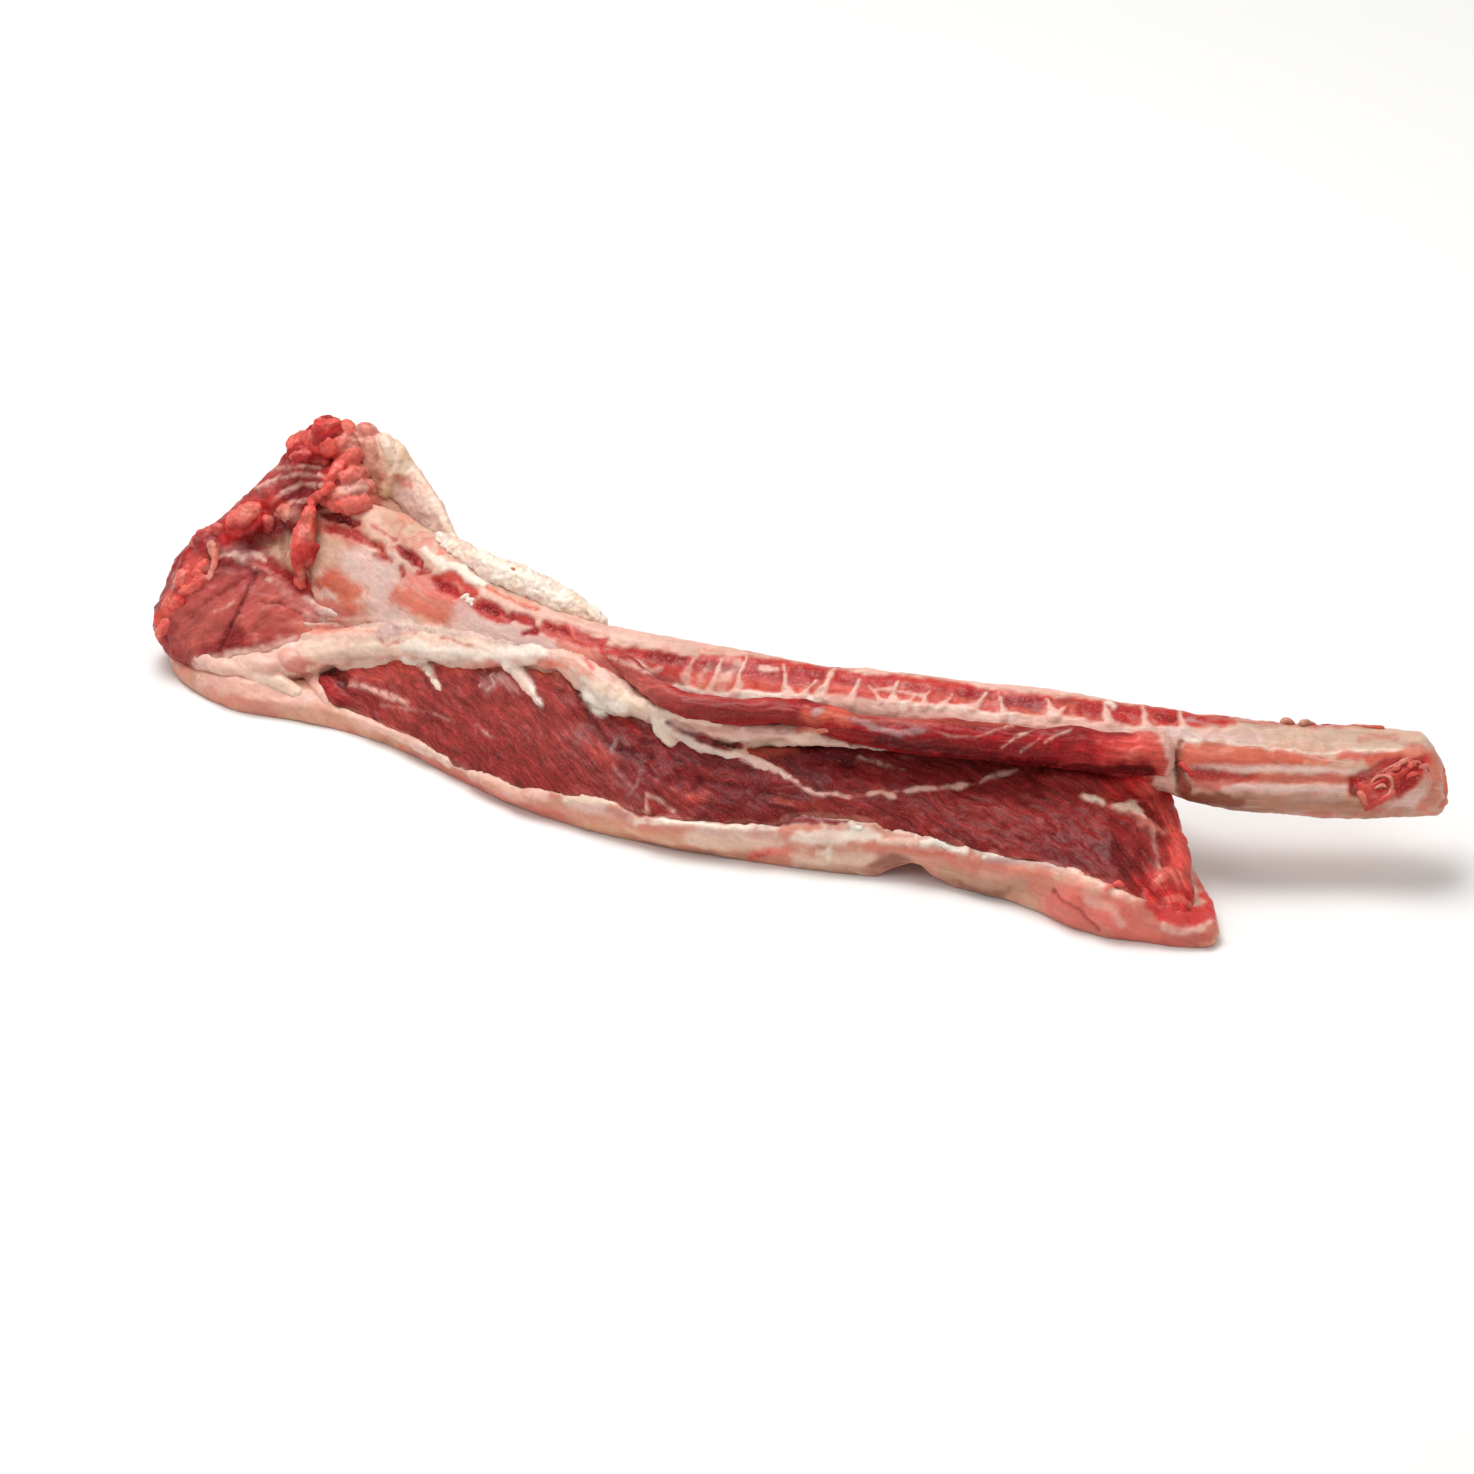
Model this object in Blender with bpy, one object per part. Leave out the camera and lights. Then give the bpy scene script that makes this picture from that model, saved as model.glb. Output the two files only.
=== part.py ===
# Raw beef spare rib: one long rib bone with the meat cut back from its far end.
# X runs along the rib, Y away from the cut face and Z up. The cover fat lies on the ground.
import math

import bmesh
import bpy
from mathutils import Matrix, Vector, noise

MM = 0.001
GAP = 0.45  # clearance left between pieces that touch
SLIVER = 0.005  # edges shorter than this are closed up after a cut
RING = 9.5  # usual distance between two sections


# ---------------------------------------------------------------- outlines along the rib
def rail(*points):
    """A smooth line through (x, value, ...) points that never overshoots them."""
    places = [point[0] for point in points]
    columns = list(zip(*[point[1:] for point in points]))

    def slopes(values):
        steps = [
            (values[i + 1] - values[i]) / (places[i + 1] - places[i])
            for i in range(len(places) - 1)
        ]
        inner = [
            2 * a * b / (a + b) if a * b > 0 else 0.0 for a, b in zip(steps, steps[1:])
        ]
        return [steps[0]] + inner + [steps[-1]]

    tangents = [slopes(values) for values in columns]

    def at(x):
        x = min(max(x, places[0]), places[-1])
        i = max(j for j in range(len(places) - 1) if places[j] <= x)
        width = places[i + 1] - places[i]
        t = (x - places[i]) / width
        start, lean_in = 2 * t**3 - 3 * t**2 + 1, t**3 - 2 * t**2 + t
        end, lean_out = 3 * t**2 - 2 * t**3, t**3 - t**2
        return [
            start * v[i] + end * v[i + 1] + width * (lean_in * m[i] + lean_out * m[i + 1])
            for v, m in zip(columns, tangents)
        ]

    return at


# Rib bone: (x, y, z) of its middle, then half its breadth, half its thickness and its tilt.
BONE_LINE = rail(
    (-178, 102, 42), (-150, 77, 43.5), (-128, 61, 44), (-100, 36, 43.5), (-74, 14, 42), (-28, -8, 42.7),
    (24, -27, 42.8), (88, -40, 41.2), (118, -48, 38.5), (140, -54, 36), (165, -55, 34), (215, -55, 32),
)
BONE_SIZE = rail(
    (-178, 13, 4.5, 46), (-150, 22.5, 7, 44), (-128, 24, 8.5, 42), (-100, 15.5, 9, 38), (-74, 12.5, 9, 34),
    (-28, 12, 8.5, 31), (88, 12.5, 8.5, 30), (118, 14.5, 8.5, 30), (140, 16.5, 8.5, 30), (172, 16.4, 8.4, 30),
    (190, 16.0, 8.2, 30), (206, 15.0, 8.0, 30), (215, 14.4, 8.0, 30),
)
# Cut face of the front muscle: its lower edge on the fat and its upper edge under the strip.
LEAN = rail(
    (-211, 84, 5), (-196, 63, 8), (-182, 52, 9), (-160, 46, 9), (-127, 21, 6), (-93, -15, 8), (-73, -29, 11),
    (-27, -52, 13), (24, -60, 17), (56, -73, 16), (98, -97, 18), (109, -107, 14), (130, -107, 7),
)
FACE_TOP = rail(
    (-158, 52, 13), (-142, 50, 18.5), (-128, 43, 23.5), (-108, 30, 31), (-94, 20.5, 35), (-74, 5, 41),
    (-60, -4, 37), (-41, -18, 34),
    (5, -32, 34), (56, -44, 33), (105, -50, 30), (118, -50, 25), (124, -66, 18), (129, -88, 14),
)
MUSCLE_BACK = rail(
    (-158, 57, 12), (-128, 58, 22), (-95, 44, 29), (-74, 37, 38), (-60, 26, 43), (-28, 11, 45),
    (24, -7, 46), (88, -20, 44), (113, -26, 38), (121, -40, 24), (126, -62, 17), (129, -82, 12),
)
# Underside of the cover fat: its front and back edges on the ground.
FAT_EDGES = rail(
    (-211, 86, 96), (-200, 66, 104), (-182, 49, 111), (-160, 42, 113), (-127, 22, 106), (-107, 1, 86),
    (-73, -28, 48), (-47, -41, 22), (5, -59, 0), (42, -68, -10), (69, -78, -16), (100, -104, -22),
    (118, -108, -30), (126, -111, -48), (137, -110, -101),
)
# Height of the meat above the ground, which is what the cover fat fills.
LAYER = rail((-213, 7), (-160, 5.5), (-127, 3.5), (-93, 5), (-60, 8), (100, 8), (122, 5), (133, 3.5))
# Fat seam between the front muscle and the bone, (x, y, z, half thickness), and the strip of lean
# from between the ribs.
SEAM_LINE = rail(
    (-196, 68, 10, 5), (-176, 55, 13, 6.5), (-160, 53, 18, 6.5), (-142, 49, 25, 5.5), (-118, 33, 32, 4.5),
    (-94, 17, 38, 4), (-74, 3, 44, 4.5), (-60, -9, 39.5, 6.5), (-44, -20, 36.5, 4.5), (-28, -30, 35, 4),
    (-11, -36, 37, 3), (5, -38, 38, 2.2), (30, -43, 36, 1.5),
)
STRIP_LINE = rail(
    (-63, 7, 46), (-54, -2, 46), (-44, -18, 44), (-28, -31, 43.3), (5, -37, 45.2), (22, -45, 43.2),
    (39, -49, 43.2), (75, -54, 42.5), (94, -56, 42), (124, -57.5, 39.5),
)
STRIP_SIZE = rail((-63, 3, 5), (-44, 3.9, 5.5), (5, 3.9, 5.5), (22, 4.7, 6), (56, 5.5, 6), (124, 6.5, 6.5))
# Loin muscle at the thick end: front edge, middle of its face, crest and back.
LOIN_FRONT = rail(
    (-213, 82, 9), (-203, 69, 9), (-189, 59, 12), (-175, 57, 15), (-142, 61, 23), (-118, 50, 26),
    (-94, 38, 28), (-60, 16, 31),
)
LOIN_FACE = rail(
    (-213, 84, 18), (-203, 79, 27), (-189, 84, 41), (-175, 81, 41), (-160, 73, 38), (-118, 58, 36),
    (-94, 42, 38), (-60, 18, 38),
)
LOIN_CREST = rail(
    (-213, 88, 21), (-205, 95, 34), (-188, 98, 47), (-173, 103, 61), (-163, 106, 73), (-153, 105, 80),
    (-144, 102, 74), (-128, 92, 60), (-118, 80, 51), (-94, 50, 44), (-60, 24, 40),
)
LOIN_BACK = rail(
    (-213, 92), (-203, 107), (-189, 114), (-165, 120), (-150, 121), (-130, 112), (-112, 95),
    (-94, 72), (-60, 36),
)
# Gristle fin and fat lump behind the bone: middle, half height, half depth and tilt.
GRISTLE = rail(
    (-146, 101, 70, 9, 5, 68), (-131, 97.5, 64, 12.5, 6, 66), (-121, 85, 58.5, 11.5, 6, 62),
    (-108, 64, 48, 9, 5, 56),
)
BACK_FAT = rail(
    (-118, 66, 55, 5, 6, 40), (-100, 48, 52, 8, 10, 34), (-87, 38, 50, 8, 11, 30), (-73, 29, 49, 7, 9, 30),
    (-59, 20, 47, 3, 5, 30),
)
# Lumps of cut meat round the rim and on the crown: middle and half sizes.
LUMPS = (
    (-154, 102, 78, 5, 6, 6), (-146, 99, 74, 5, 5, 5), (-163, 102, 67, 5, 6, 6), (-172, 99, 56, 5.5, 6, 5.5),
    (-181, 93, 47, 7, 8, 6.5), (-191, 94, 38, 7, 8, 7), (-200, 90, 28, 7, 8, 7.5), (-205, 84, 18, 7.5, 9, 8),
    (-150, 91, 65, 7, 6, 7), (-143, 87, 59, 7, 6, 5.5),
)
SHRED = ((-160, 86, 58), (-163, 82, 51), (-161, 78, 47), (-165, 74, 42))  # hanging strip of lean
SHRED_RADIUS = 3.6


# ---------------------------------------------------------------- modelling helpers
def material(name, colour, roughness):
    shader = bpy.data.materials.new(name)
    shader.use_nodes = True
    bsdf = shader.node_tree.nodes["Principled BSDF"]
    bsdf.inputs["Base Color"].default_value = (*colour, 1.0)
    bsdf.inputs["Roughness"].default_value = roughness
    bsdf.inputs["Metallic"].default_value = 0.0
    return shader


def rounded(corners, count):
    """A closed outline of evenly spaced points on a smooth curve through the corners."""
    size = len(corners)
    dense = []
    for i in range(size):
        a, b, c, d = (Vector(corners[(i + k) % size]) for k in (-1, 0, 1, 2))
        for t in (0.0, 0.2, 0.4, 0.6, 0.8):
            dense.append(
                0.5 * (2 * b + (c - a) * t + (2 * a - 5 * b + 4 * c - d) * t**2
                       + (3 * b - a - 3 * c + d) * t**3)
            )
    dense.append(dense[0])
    lengths = [0.0]
    for a, b in zip(dense, dense[1:]):
        lengths.append(lengths[-1] + (b - a).length)
    outline, i = [], 0
    for k in range(count):
        want = lengths[-1] * k / count
        while lengths[i + 1] < want:
            i += 1
        share = (want - lengths[i]) / (lengths[i + 1] - lengths[i])
        outline.append(dense[i].lerp(dense[i + 1], share))
    return outline


def oval(y, z, across, through, tilt, count):
    """An ellipse whose long half axis leans back from the horizontal by tilt degrees."""
    turn = math.radians(tilt)
    long_way = Vector((math.cos(turn), math.sin(turn)))
    short_way = Vector((-math.sin(turn), math.cos(turn)))
    angles = [2 * math.pi * k / count for k in range(count)]
    return [
        Vector((y, z)) + long_way * across * math.cos(a) + short_way * through * math.sin(a)
        for a in angles
    ]


def stations(first, last, cap, step):
    """(x, scale) of each section: full size between two rounded caps."""
    ends = [(cap * (1 - math.cos(a)), math.sin(a)) for a in (0.35, 0.75, 1.15)]
    count = max(2, round((last - first - 2 * cap) / step))
    middle = [(first + cap + (last - first - 2 * cap) * k / count, 1.0) for k in range(count + 1)]
    left = [(first + offset, scale) for offset, scale in ends]
    right = [(last - offset, scale) for offset, scale in reversed(ends)]
    return left + middle + right


def mesh_object(name, bm, shader, collection):
    bmesh.ops.triangulate(bm, faces=bm.faces)  # a piece and its clearance then share their facets
    bmesh.ops.recalc_face_normals(bm, faces=bm.faces)
    mesh = bpy.data.meshes.new(name)
    bm.to_mesh(mesh)
    bm.free()
    mesh.materials.append(shader)
    obj = bpy.data.objects.new(name, mesh)
    collection.objects.link(obj)
    return obj


def add_relief(bm, grain, height, seed):
    """Uneven flesh: moves the surface along its normals, and leaves a flat underside."""
    bm.normal_update()
    moves = []
    for vert in bm.verts:
        place = vert.co / (grain * MM) + Vector((seed, 0, 0))
        lift = height * noise.fractal(place, 0.9, 2.0, 2) * min(1.0, vert.co.z / (5 * MM))
        moves.append(vert.normal * lift * MM)
    for vert, move in zip(bm.verts, moves):
        vert.co += move


def loft(name, ends, section, shader, collection, cap=8.0, step=RING, grain=14.0, height=0.8, seed=0):
    """A closed solid through section(x) outlines in the YZ plane, with rounded ends."""
    bm = bmesh.new()
    rings = []
    for x, scale in stations(*ends, cap, step):
        outline = section(x)
        centre = sum(outline, Vector((0, 0))) / len(outline)
        shrunk = [centre + (point - centre) * scale for point in outline]
        rings.append([bm.verts.new(Vector((x, p.x, max(p.y, 0.0))) * MM) for p in shrunk])
    for low, high in zip(rings, rings[1:]):
        for i in range(len(low)):
            j = (i + 1) % len(low)
            bm.faces.new((low[i], low[j], high[j], high[i]))
    for ring, x in ((rings[0], ends[0]), (rings[-1], ends[1])):
        middle = sum((vert.co for vert in ring), Vector()) / len(ring)
        tip = bm.verts.new((x * MM, middle.y, middle.z))
        for i in range(len(ring)):
            bm.faces.new((ring[i], ring[(i + 1) % len(ring)], tip))
    add_relief(bm, grain, height, seed)
    return mesh_object(name, bm, shader, collection)


def lump(name, middle, sizes, shader, collection, seed):
    bm = bmesh.new()
    bmesh.ops.create_icosphere(bm, subdivisions=2, radius=1.0)
    turn = Matrix.Rotation(0.9 * seed, 4, (0.3, 1.0, 0.4))
    bmesh.ops.transform(bm, verts=bm.verts, matrix=turn)
    bmesh.ops.scale(bm, verts=bm.verts, vec=Vector(sizes) * MM)
    bmesh.ops.translate(bm, verts=bm.verts, vec=Vector(middle) * MM)
    add_relief(bm, 7.0, 2.2, 3.1 * seed)
    return mesh_object(name, bm, shader, collection)


def swollen(obj, by, collection):
    """A hidden copy of a piece, larger all round, that cuts its clearance from a neighbour."""
    mesh = obj.data.copy()
    for vert, normal in zip(mesh.vertices, [v.normal.copy() for v in mesh.vertices]):
        vert.co += normal * by * MM
    cutter = bpy.data.objects.new(obj.name + "_clearance", mesh)
    collection.objects.link(cutter)
    return cutter


def combine(target, others, operation):
    """Applies one exact Boolean for each of the other objects."""
    for other in others:
        modifier = target.modifiers.new(other.name, "BOOLEAN")
        modifier.object = other
        modifier.operation = operation
        modifier.solver = "MANIFOLD"
        with bpy.context.temp_override(object=target, active_object=target):
            bpy.ops.object.modifier_apply(modifier=modifier.name)


def fuse(target, others):
    combine(target, others, "UNION")
    for other in others:
        bpy.data.objects.remove(other)


def keep_largest(obj):
    """Drops the loose scraps that a cut leaves beside the piece."""
    bm = bmesh.new()
    bm.from_mesh(obj.data)
    bmesh.ops.dissolve_degenerate(bm, edges=bm.edges, dist=SLIVER * MM)
    waiting, islands = set(bm.verts), []
    while waiting:
        reached = {waiting.pop()}
        island = set(reached)
        while reached:
            reached = {edge.other_vert(vert) for vert in reached for edge in vert.link_edges} & waiting
            waiting -= reached
            island |= reached
        islands.append(island)
    islands.sort(key=len, reverse=True)
    bmesh.ops.delete(bm, geom=[vert for island in islands[1:] for vert in island], context="VERTS")
    bm.to_mesh(obj.data)
    bm.free()


# ---------------------------------------------------------------- sections of the pieces
def bone_section(x):
    return oval(*BONE_LINE(x), *BONE_SIZE(x), 18)


def strip_section(x):
    (y, z), (height, depth) = STRIP_LINE(x), STRIP_SIZE(x)
    return oval(y, z, height, depth, 62, 12)


def seam_section(x):
    """A sheet that shows as a band on the cut face and runs down behind the front muscle."""
    y, z, thick = SEAM_LINE(x)
    reach = 10.0
    tilt = -20 if x < -60 else -12
    turn = math.radians(tilt)
    inward = reach - 2.5
    return oval(y + inward * math.cos(turn), z + inward * math.sin(turn), reach, thick, tilt, 12)


def muscle_section(x):
    (ly, lz), (ty, tz), (by, bz) = LEAN(x), FACE_TOP(x), MUSCLE_BACK(x)
    (low,) = LAYER(x)
    corners = [
        (ly, lz),
        ((ly + ty) / 2 - 1.5, (lz + tz) / 2 + 1.5),
        (ty, tz),
        ((ty + by) / 2, max(tz, bz) - 1),
        (by - 2, bz),
        (by + 3, bz * 0.55),
        (by, low + 1),
        ((ly + by) / 2, low),
        (ly + 0.25 * (by - ly), low + 0.3 * (lz - low)),
    ]
    return rounded(corners, 24)


def fat_section(x):
    (front, back), (ly, lz) = FAT_EDGES(x), LEAN(x)
    lift = 4.5 * math.exp(-(((x - 42) / 5) ** 2))  # a hollow under the front edge
    top = LAYER(x)[0] + 3
    corners = [
        (front, lift),
        (min(front, ly) - 2.0, lz * 0.5 + lift * 0.5),
        (ly - 0.6, lz + 1.2),
        (ly + 0.2 * (back - ly), lz),
        ((ly + back) / 2, top),
        (back - 5, top),
        (back + 1, 5),
        (back - 2, 0),
        ((front + back) / 2, 0),
        (front + 6, 0),
    ]
    return rounded(corners, 22)


def loin_section(x):
    (fy, fz), (my, mz), (cy, cz), (back,) = LOIN_FRONT(x), LOIN_FACE(x), LOIN_CREST(x), LOIN_BACK(x)
    (low,) = LAYER(x)
    corners = [
        (fy, fz),
        ((fy + my) / 2 - 1, (fz + mz) / 2 + 1),
        (my, mz),
        ((my + cy) / 2, (mz + cz) / 2),
        (cy, cz),
        ((cy + back) / 2, cz - 1),
        (back, cz * 0.75),
        (back + 1, cz * 0.35),
        (back - 4, low),
        ((fy + back) / 2, low),
        (fy + 6, low),
    ]
    return rounded(corners, 26)


def gristle_section(x):
    return oval(*GRISTLE(x), 12)


def back_fat_section(x):
    return oval(*BACK_FAT(x), 12)


# ---------------------------------------------------------------- the rib
def slant_end(obj, start, bottom, slope):
    """Cuts the far end back at a slope, so that its top is shorter than its underside."""
    span = 214 - start
    for vert in obj.data.vertices:
        beyond = max(0.0, vert.co.x / MM - start) / span
        vert.co.x -= beyond * slope * max(0.0, vert.co.z - bottom * MM)


def make_bone(collection):
    shader = material("rib_bone", (0.72, 0.50, 0.42), 0.45)
    bone = loft("rib_bone", (-180, 214), bone_section, shader, collection, cap=6, height=0.9, seed=2)
    scrap = lump("scrap", (199, -66, 36), (10, 5, 7), shader, collection, 5)
    low_scrap = lump("low_scrap", (190, -67, 32), (7, 4.5, 5), shader, collection, 6)
    fuse(bone, [scrap, low_scrap])
    slant_end(bone, 196, 24, 0.35)
    return bone


def make_strip(collection):
    shader = material("rib_strip", (0.26, 0.025, 0.03), 0.38)
    return loft("rib_strip", (-64, 124), strip_section, shader, collection, cap=4, grain=10, seed=8)


def make_gristle(collection):
    shader = material("chine_gristle", (0.86, 0.68, 0.58), 0.4)
    return loft("chine_gristle", (-148, -106), gristle_section, shader, collection, cap=4, step=5,
                grain=9, height=1.2, seed=4)


def make_back_fat(collection):
    shader = material("back_fat", (0.85, 0.76, 0.66), 0.42)
    return loft("back_fat", (-119, -58), back_fat_section, shader, collection, cap=5, step=7,
                grain=11, height=1.2, seed=6)


def make_seam(collection):
    shader = material("fat_seam", (0.86, 0.70, 0.62), 0.4)
    return loft("fat_seam", (-198, 36), seam_section, shader, collection, cap=5, step=11, height=0.6, seed=11)


def make_loin(collection):
    shader = material("loin_muscle", (0.38, 0.075, 0.07), 0.4)
    loin = loft("loin_muscle", (-213, -60), loin_section, shader, collection, cap=7, step=9,
                grain=12, height=1.6, seed=13)
    lumps = [
        lump(f"lump_{i}", piece[:3], piece[3:], shader, collection, i + 1) for i, piece in enumerate(LUMPS)
    ]
    for i, (start, end) in enumerate(zip(SHRED, SHRED[1:])):
        middle = [(a + b) / 2 for a, b in zip(start, end)]
        sizes = (SHRED_RADIUS, SHRED_RADIUS, SHRED_RADIUS + (start[2] - end[2]) / 2)
        lumps.append(lump(f"shred_{i}", middle, sizes, shader, collection, i + 20))
    fuse(loin, lumps)
    return loin


def make_front_muscle(collection):
    shader = material("front_muscle", (0.30, 0.04, 0.045), 0.38)
    return loft("front_muscle", (-156, 129), muscle_section, shader, collection, cap=4, step=11,
                grain=12, height=1.0, seed=17)


def make_cover_fat(collection):
    shader = material("cover_fat", (0.84, 0.62, 0.53), 0.42)
    return loft("cover_fat", (-209, 138), fat_section, shader, collection, cap=5, step=10.5,
                grain=13, height=1.3, seed=23)


def stand_on_origin(objects):
    """Puts the middle of the underside of the whole rib at the world's origin."""
    points = [vert.co for obj in objects for vert in obj.data.vertices]
    low = Vector([min(point[i] for point in points) for i in range(3)])
    high = Vector([max(point[i] for point in points) for i in range(3)])
    move = Vector((-(low.x + high.x) / 2, -(low.y + high.y) / 2, -low.z))
    for obj in objects:
        obj.data.transform(Matrix.Translation(move))
    print("moved by", [round(value / MM, 2) for value in move], "mm")


def main():
    for obj in list(bpy.data.objects):
        bpy.data.objects.remove(obj, do_unlink=True)
    parts = bpy.data.collections.new("raw_beef_spare_rib")
    cutters = bpy.data.collections.new("cutters")
    bpy.context.scene.collection.children.link(parts)
    bpy.context.scene.collection.children.link(cutters)
    makers = (
        make_bone, make_strip, make_gristle, make_back_fat, make_seam, make_loin,
        make_front_muscle, make_cover_fat,
    )
    done = []
    for make in makers:
        piece = make(parts)
        clearance = swollen(piece, GAP, cutters)
        combine(piece, [cutter for _, cutter in done], "DIFFERENCE")
        keep_largest(piece)
        done.append((piece, clearance))
        print(piece.name, len(piece.data.polygons), "faces")
    for _, cutter in done:
        bpy.data.objects.remove(cutter)
    stand_on_origin([piece for piece, _ in done])


main()
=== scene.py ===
# Dressing for the raw beef spare rib: wet lean, fat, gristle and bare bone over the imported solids.
import math

import bpy
import numpy as np
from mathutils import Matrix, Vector
from mathutils.bvhtree import BVHTree


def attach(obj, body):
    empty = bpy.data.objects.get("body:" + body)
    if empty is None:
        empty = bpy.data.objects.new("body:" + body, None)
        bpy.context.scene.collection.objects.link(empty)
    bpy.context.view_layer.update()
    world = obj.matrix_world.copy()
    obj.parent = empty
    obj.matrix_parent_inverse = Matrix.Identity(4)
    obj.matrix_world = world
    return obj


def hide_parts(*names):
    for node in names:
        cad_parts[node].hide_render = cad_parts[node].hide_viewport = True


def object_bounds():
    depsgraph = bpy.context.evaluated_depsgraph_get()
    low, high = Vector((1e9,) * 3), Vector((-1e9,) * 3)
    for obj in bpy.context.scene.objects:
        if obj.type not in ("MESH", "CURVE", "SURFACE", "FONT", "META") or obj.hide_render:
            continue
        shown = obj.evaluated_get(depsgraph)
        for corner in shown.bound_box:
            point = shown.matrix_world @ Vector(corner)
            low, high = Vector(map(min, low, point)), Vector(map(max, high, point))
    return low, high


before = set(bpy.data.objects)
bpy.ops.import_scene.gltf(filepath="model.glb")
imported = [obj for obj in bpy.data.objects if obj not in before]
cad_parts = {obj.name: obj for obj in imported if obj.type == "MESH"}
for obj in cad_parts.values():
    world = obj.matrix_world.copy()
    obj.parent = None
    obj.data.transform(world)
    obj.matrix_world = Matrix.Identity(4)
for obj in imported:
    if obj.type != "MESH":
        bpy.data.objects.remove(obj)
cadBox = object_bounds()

mm = 0.001
print("frame loaded")


# camera
shot = {
    "aim": (-0.0149, 0.0266, 0.0),  # middle of the picture on the ground, metres
    "distance": 2.457,
    "elevation": 28.0,  # degrees above the ground
    "lens": 180.0,
    "sensor": 36.0,
    "frame": 1474,  # picture width and height in pixels
    "clip": (0.1, 50.0),
}
tilt = math.radians(shot["elevation"])
camForward = np.array((0.0, math.cos(tilt), -math.sin(tilt)))
camUp = np.array((0.0, math.sin(tilt), math.cos(tilt)))
camRight = np.array((1.0, 0.0, 0.0))
camPlace = np.array(shot["aim"]) - camForward * shot["distance"]
focal = shot["frame"] * shot["lens"] / shot["sensor"]  # in pixels


def addCamera():
    bpy.ops.object.camera_add(location=camPlace, rotation=(math.pi / 2 - tilt, 0, 0))
    camera = bpy.context.object
    camera.name = "studioCamera"
    camera.data.lens = shot["lens"]
    camera.data.sensor_width = shot["sensor"]
    camera.data.clip_start, camera.data.clip_end = shot["clip"]
    bpy.context.scene.camera = camera


def pictureOf(points):  # metres to picture pixels, so that paint can be put down by place
    rel = points - camPlace
    depth = rel @ camForward
    half = shot["frame"] / 2
    return np.stack(
        (half + focal * (rel @ camRight) / depth, half - focal * (rel @ camUp) / depth), axis=1
    )


def rayThrough(u, v):
    half = shot["frame"] / 2
    way = camForward + camRight * (u - half) / focal - camUp * (v - half) / focal
    return Vector(camPlace), Vector(way).normalized()


# noise and small maths
scramble = {"axes": (374761393, 668265263, 144269504), "seed": 97463, "mix": 1274126177, "bits": 0xFFFFFFFF}
noises = {  # size in mm, seed, octaves
    "wanderWide": (14, 5, 1), "wanderFine": (5, 6, 1), "meeting": (4, 8, 2), "joining": (3, 7, 2),
    "creasing": (5, 9, 2), "strayU": (7, 21, 2), "strayV": (7, 22, 2), "ragged": (3.6, 23, 2),
    "mottled": (4.5, 24, 3), "broken": (1.7, 25, 2), "crumb": (1.8, 33, 2),
}


def ease(x, low, high):
    t = np.clip((x - low) / (high - low), 0.0, 1.0)
    return t * t * (3 - 2 * t)


def clouds(points, size, seed=0, octaves=1):  # smooth seeded noise, about -1 to 1
    axes, bits = np.array(scramble["axes"]), scramble["bits"]
    total, gain = np.zeros(len(points)), 1.0
    for k in range(octaves):
        p = points / size * 2.0**k + 11.7 * (k + 1) + seed * 3.1
        cell = np.floor(p).astype(np.int64)
        part = p - cell
        blend = part**3 * (part * (part * 6 - 15) + 10)
        value = np.zeros(len(points))
        for step in np.ndindex(2, 2, 2):
            corner = np.array(step)
            mixed = ((cell + corner) @ axes + seed * scramble["seed"]) & bits
            mixed = ((mixed ^ (mixed >> 13)) * scramble["mix"]) & bits
            mixed ^= mixed >> 16
            slope = np.stack([(mixed >> shift) & 1023 for shift in (0, 10, 20)], axis=1) / 511.5 - 1
            weight = np.prod(np.where(corner == 1, blend, 1 - blend), axis=1)
            value += weight * np.sum(slope * (part - corner), axis=1)
        total += value * gain * 1.5
        gain *= 0.5
    return total


def noiseOf(spots, name):
    size, seed, octaves = noises[name]
    return clouds(spots, size * mm, seed, octaves)


def linear(colour):
    c = np.array(colour, float) / 255
    return np.where(c <= 0.04045, c / 12.92, ((c + 0.055) / 1.055) ** 2.4)


# palette: red, green, blue, and how fatty the tissue is
paints = {
    "cream": (236, 206, 184, 1.0),
    "white": (244, 228, 212, 1.0),
    "butter": (226, 184, 144, 1.0),
    "palePink": (230, 182, 166, 1.0),
    "pinkFat": (214, 144, 124, 0.9),
    "blush": (212, 122, 106, 0.8),
    "salmon": (214, 122, 100, 0.8),
    "orange": (214, 98, 72, 0.6),
    "rust": (188, 76, 54, 0.5),
    "coral": (222, 88, 76, 0.4),
    "bright": (208, 46, 44, 0.0),
    "flesh": (226, 112, 98, 0.3),
    "blood": (166, 26, 30, 0.0),
    "marrow": (196, 56, 48, 0.15),
    "deep": (128, 18, 24, 0.0),
    "dark": (92, 10, 16, 0.0),
    "leanPale": (170, 66, 60, 0.1),
    "lean": (150, 45, 42, 0.0),
    "leanMid": (134, 34, 33, 0.0),
    "leanDark": (114, 22, 26, 0.0),
    "rose": (196, 92, 82, 0.2),
    "dusky": (176, 74, 70, 0.2),
    "purple": (116, 56, 64, 0.3),
    "silver": (186, 148, 144, 0.6),
    "lavender": (222, 188, 178, 0.9),
    "tan": (190, 140, 114, 0.8),
    "sand": (210, 166, 142, 0.9),
    "ash": (216, 188, 168, 0.9),
    "grey": (182, 156, 142, 0.9),
    "brown": (140, 78, 58, 0.4),
    "umber": (92, 44, 36, 0.3),
}


def layPaint(tint, fatty, colour, share):  # mixes one paint in, by each point's share of it
    *shade, fat = paints[colour]
    tint += (linear(shade) - tint) * share[:, None]
    fatty += (fat - fatty) * share


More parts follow.
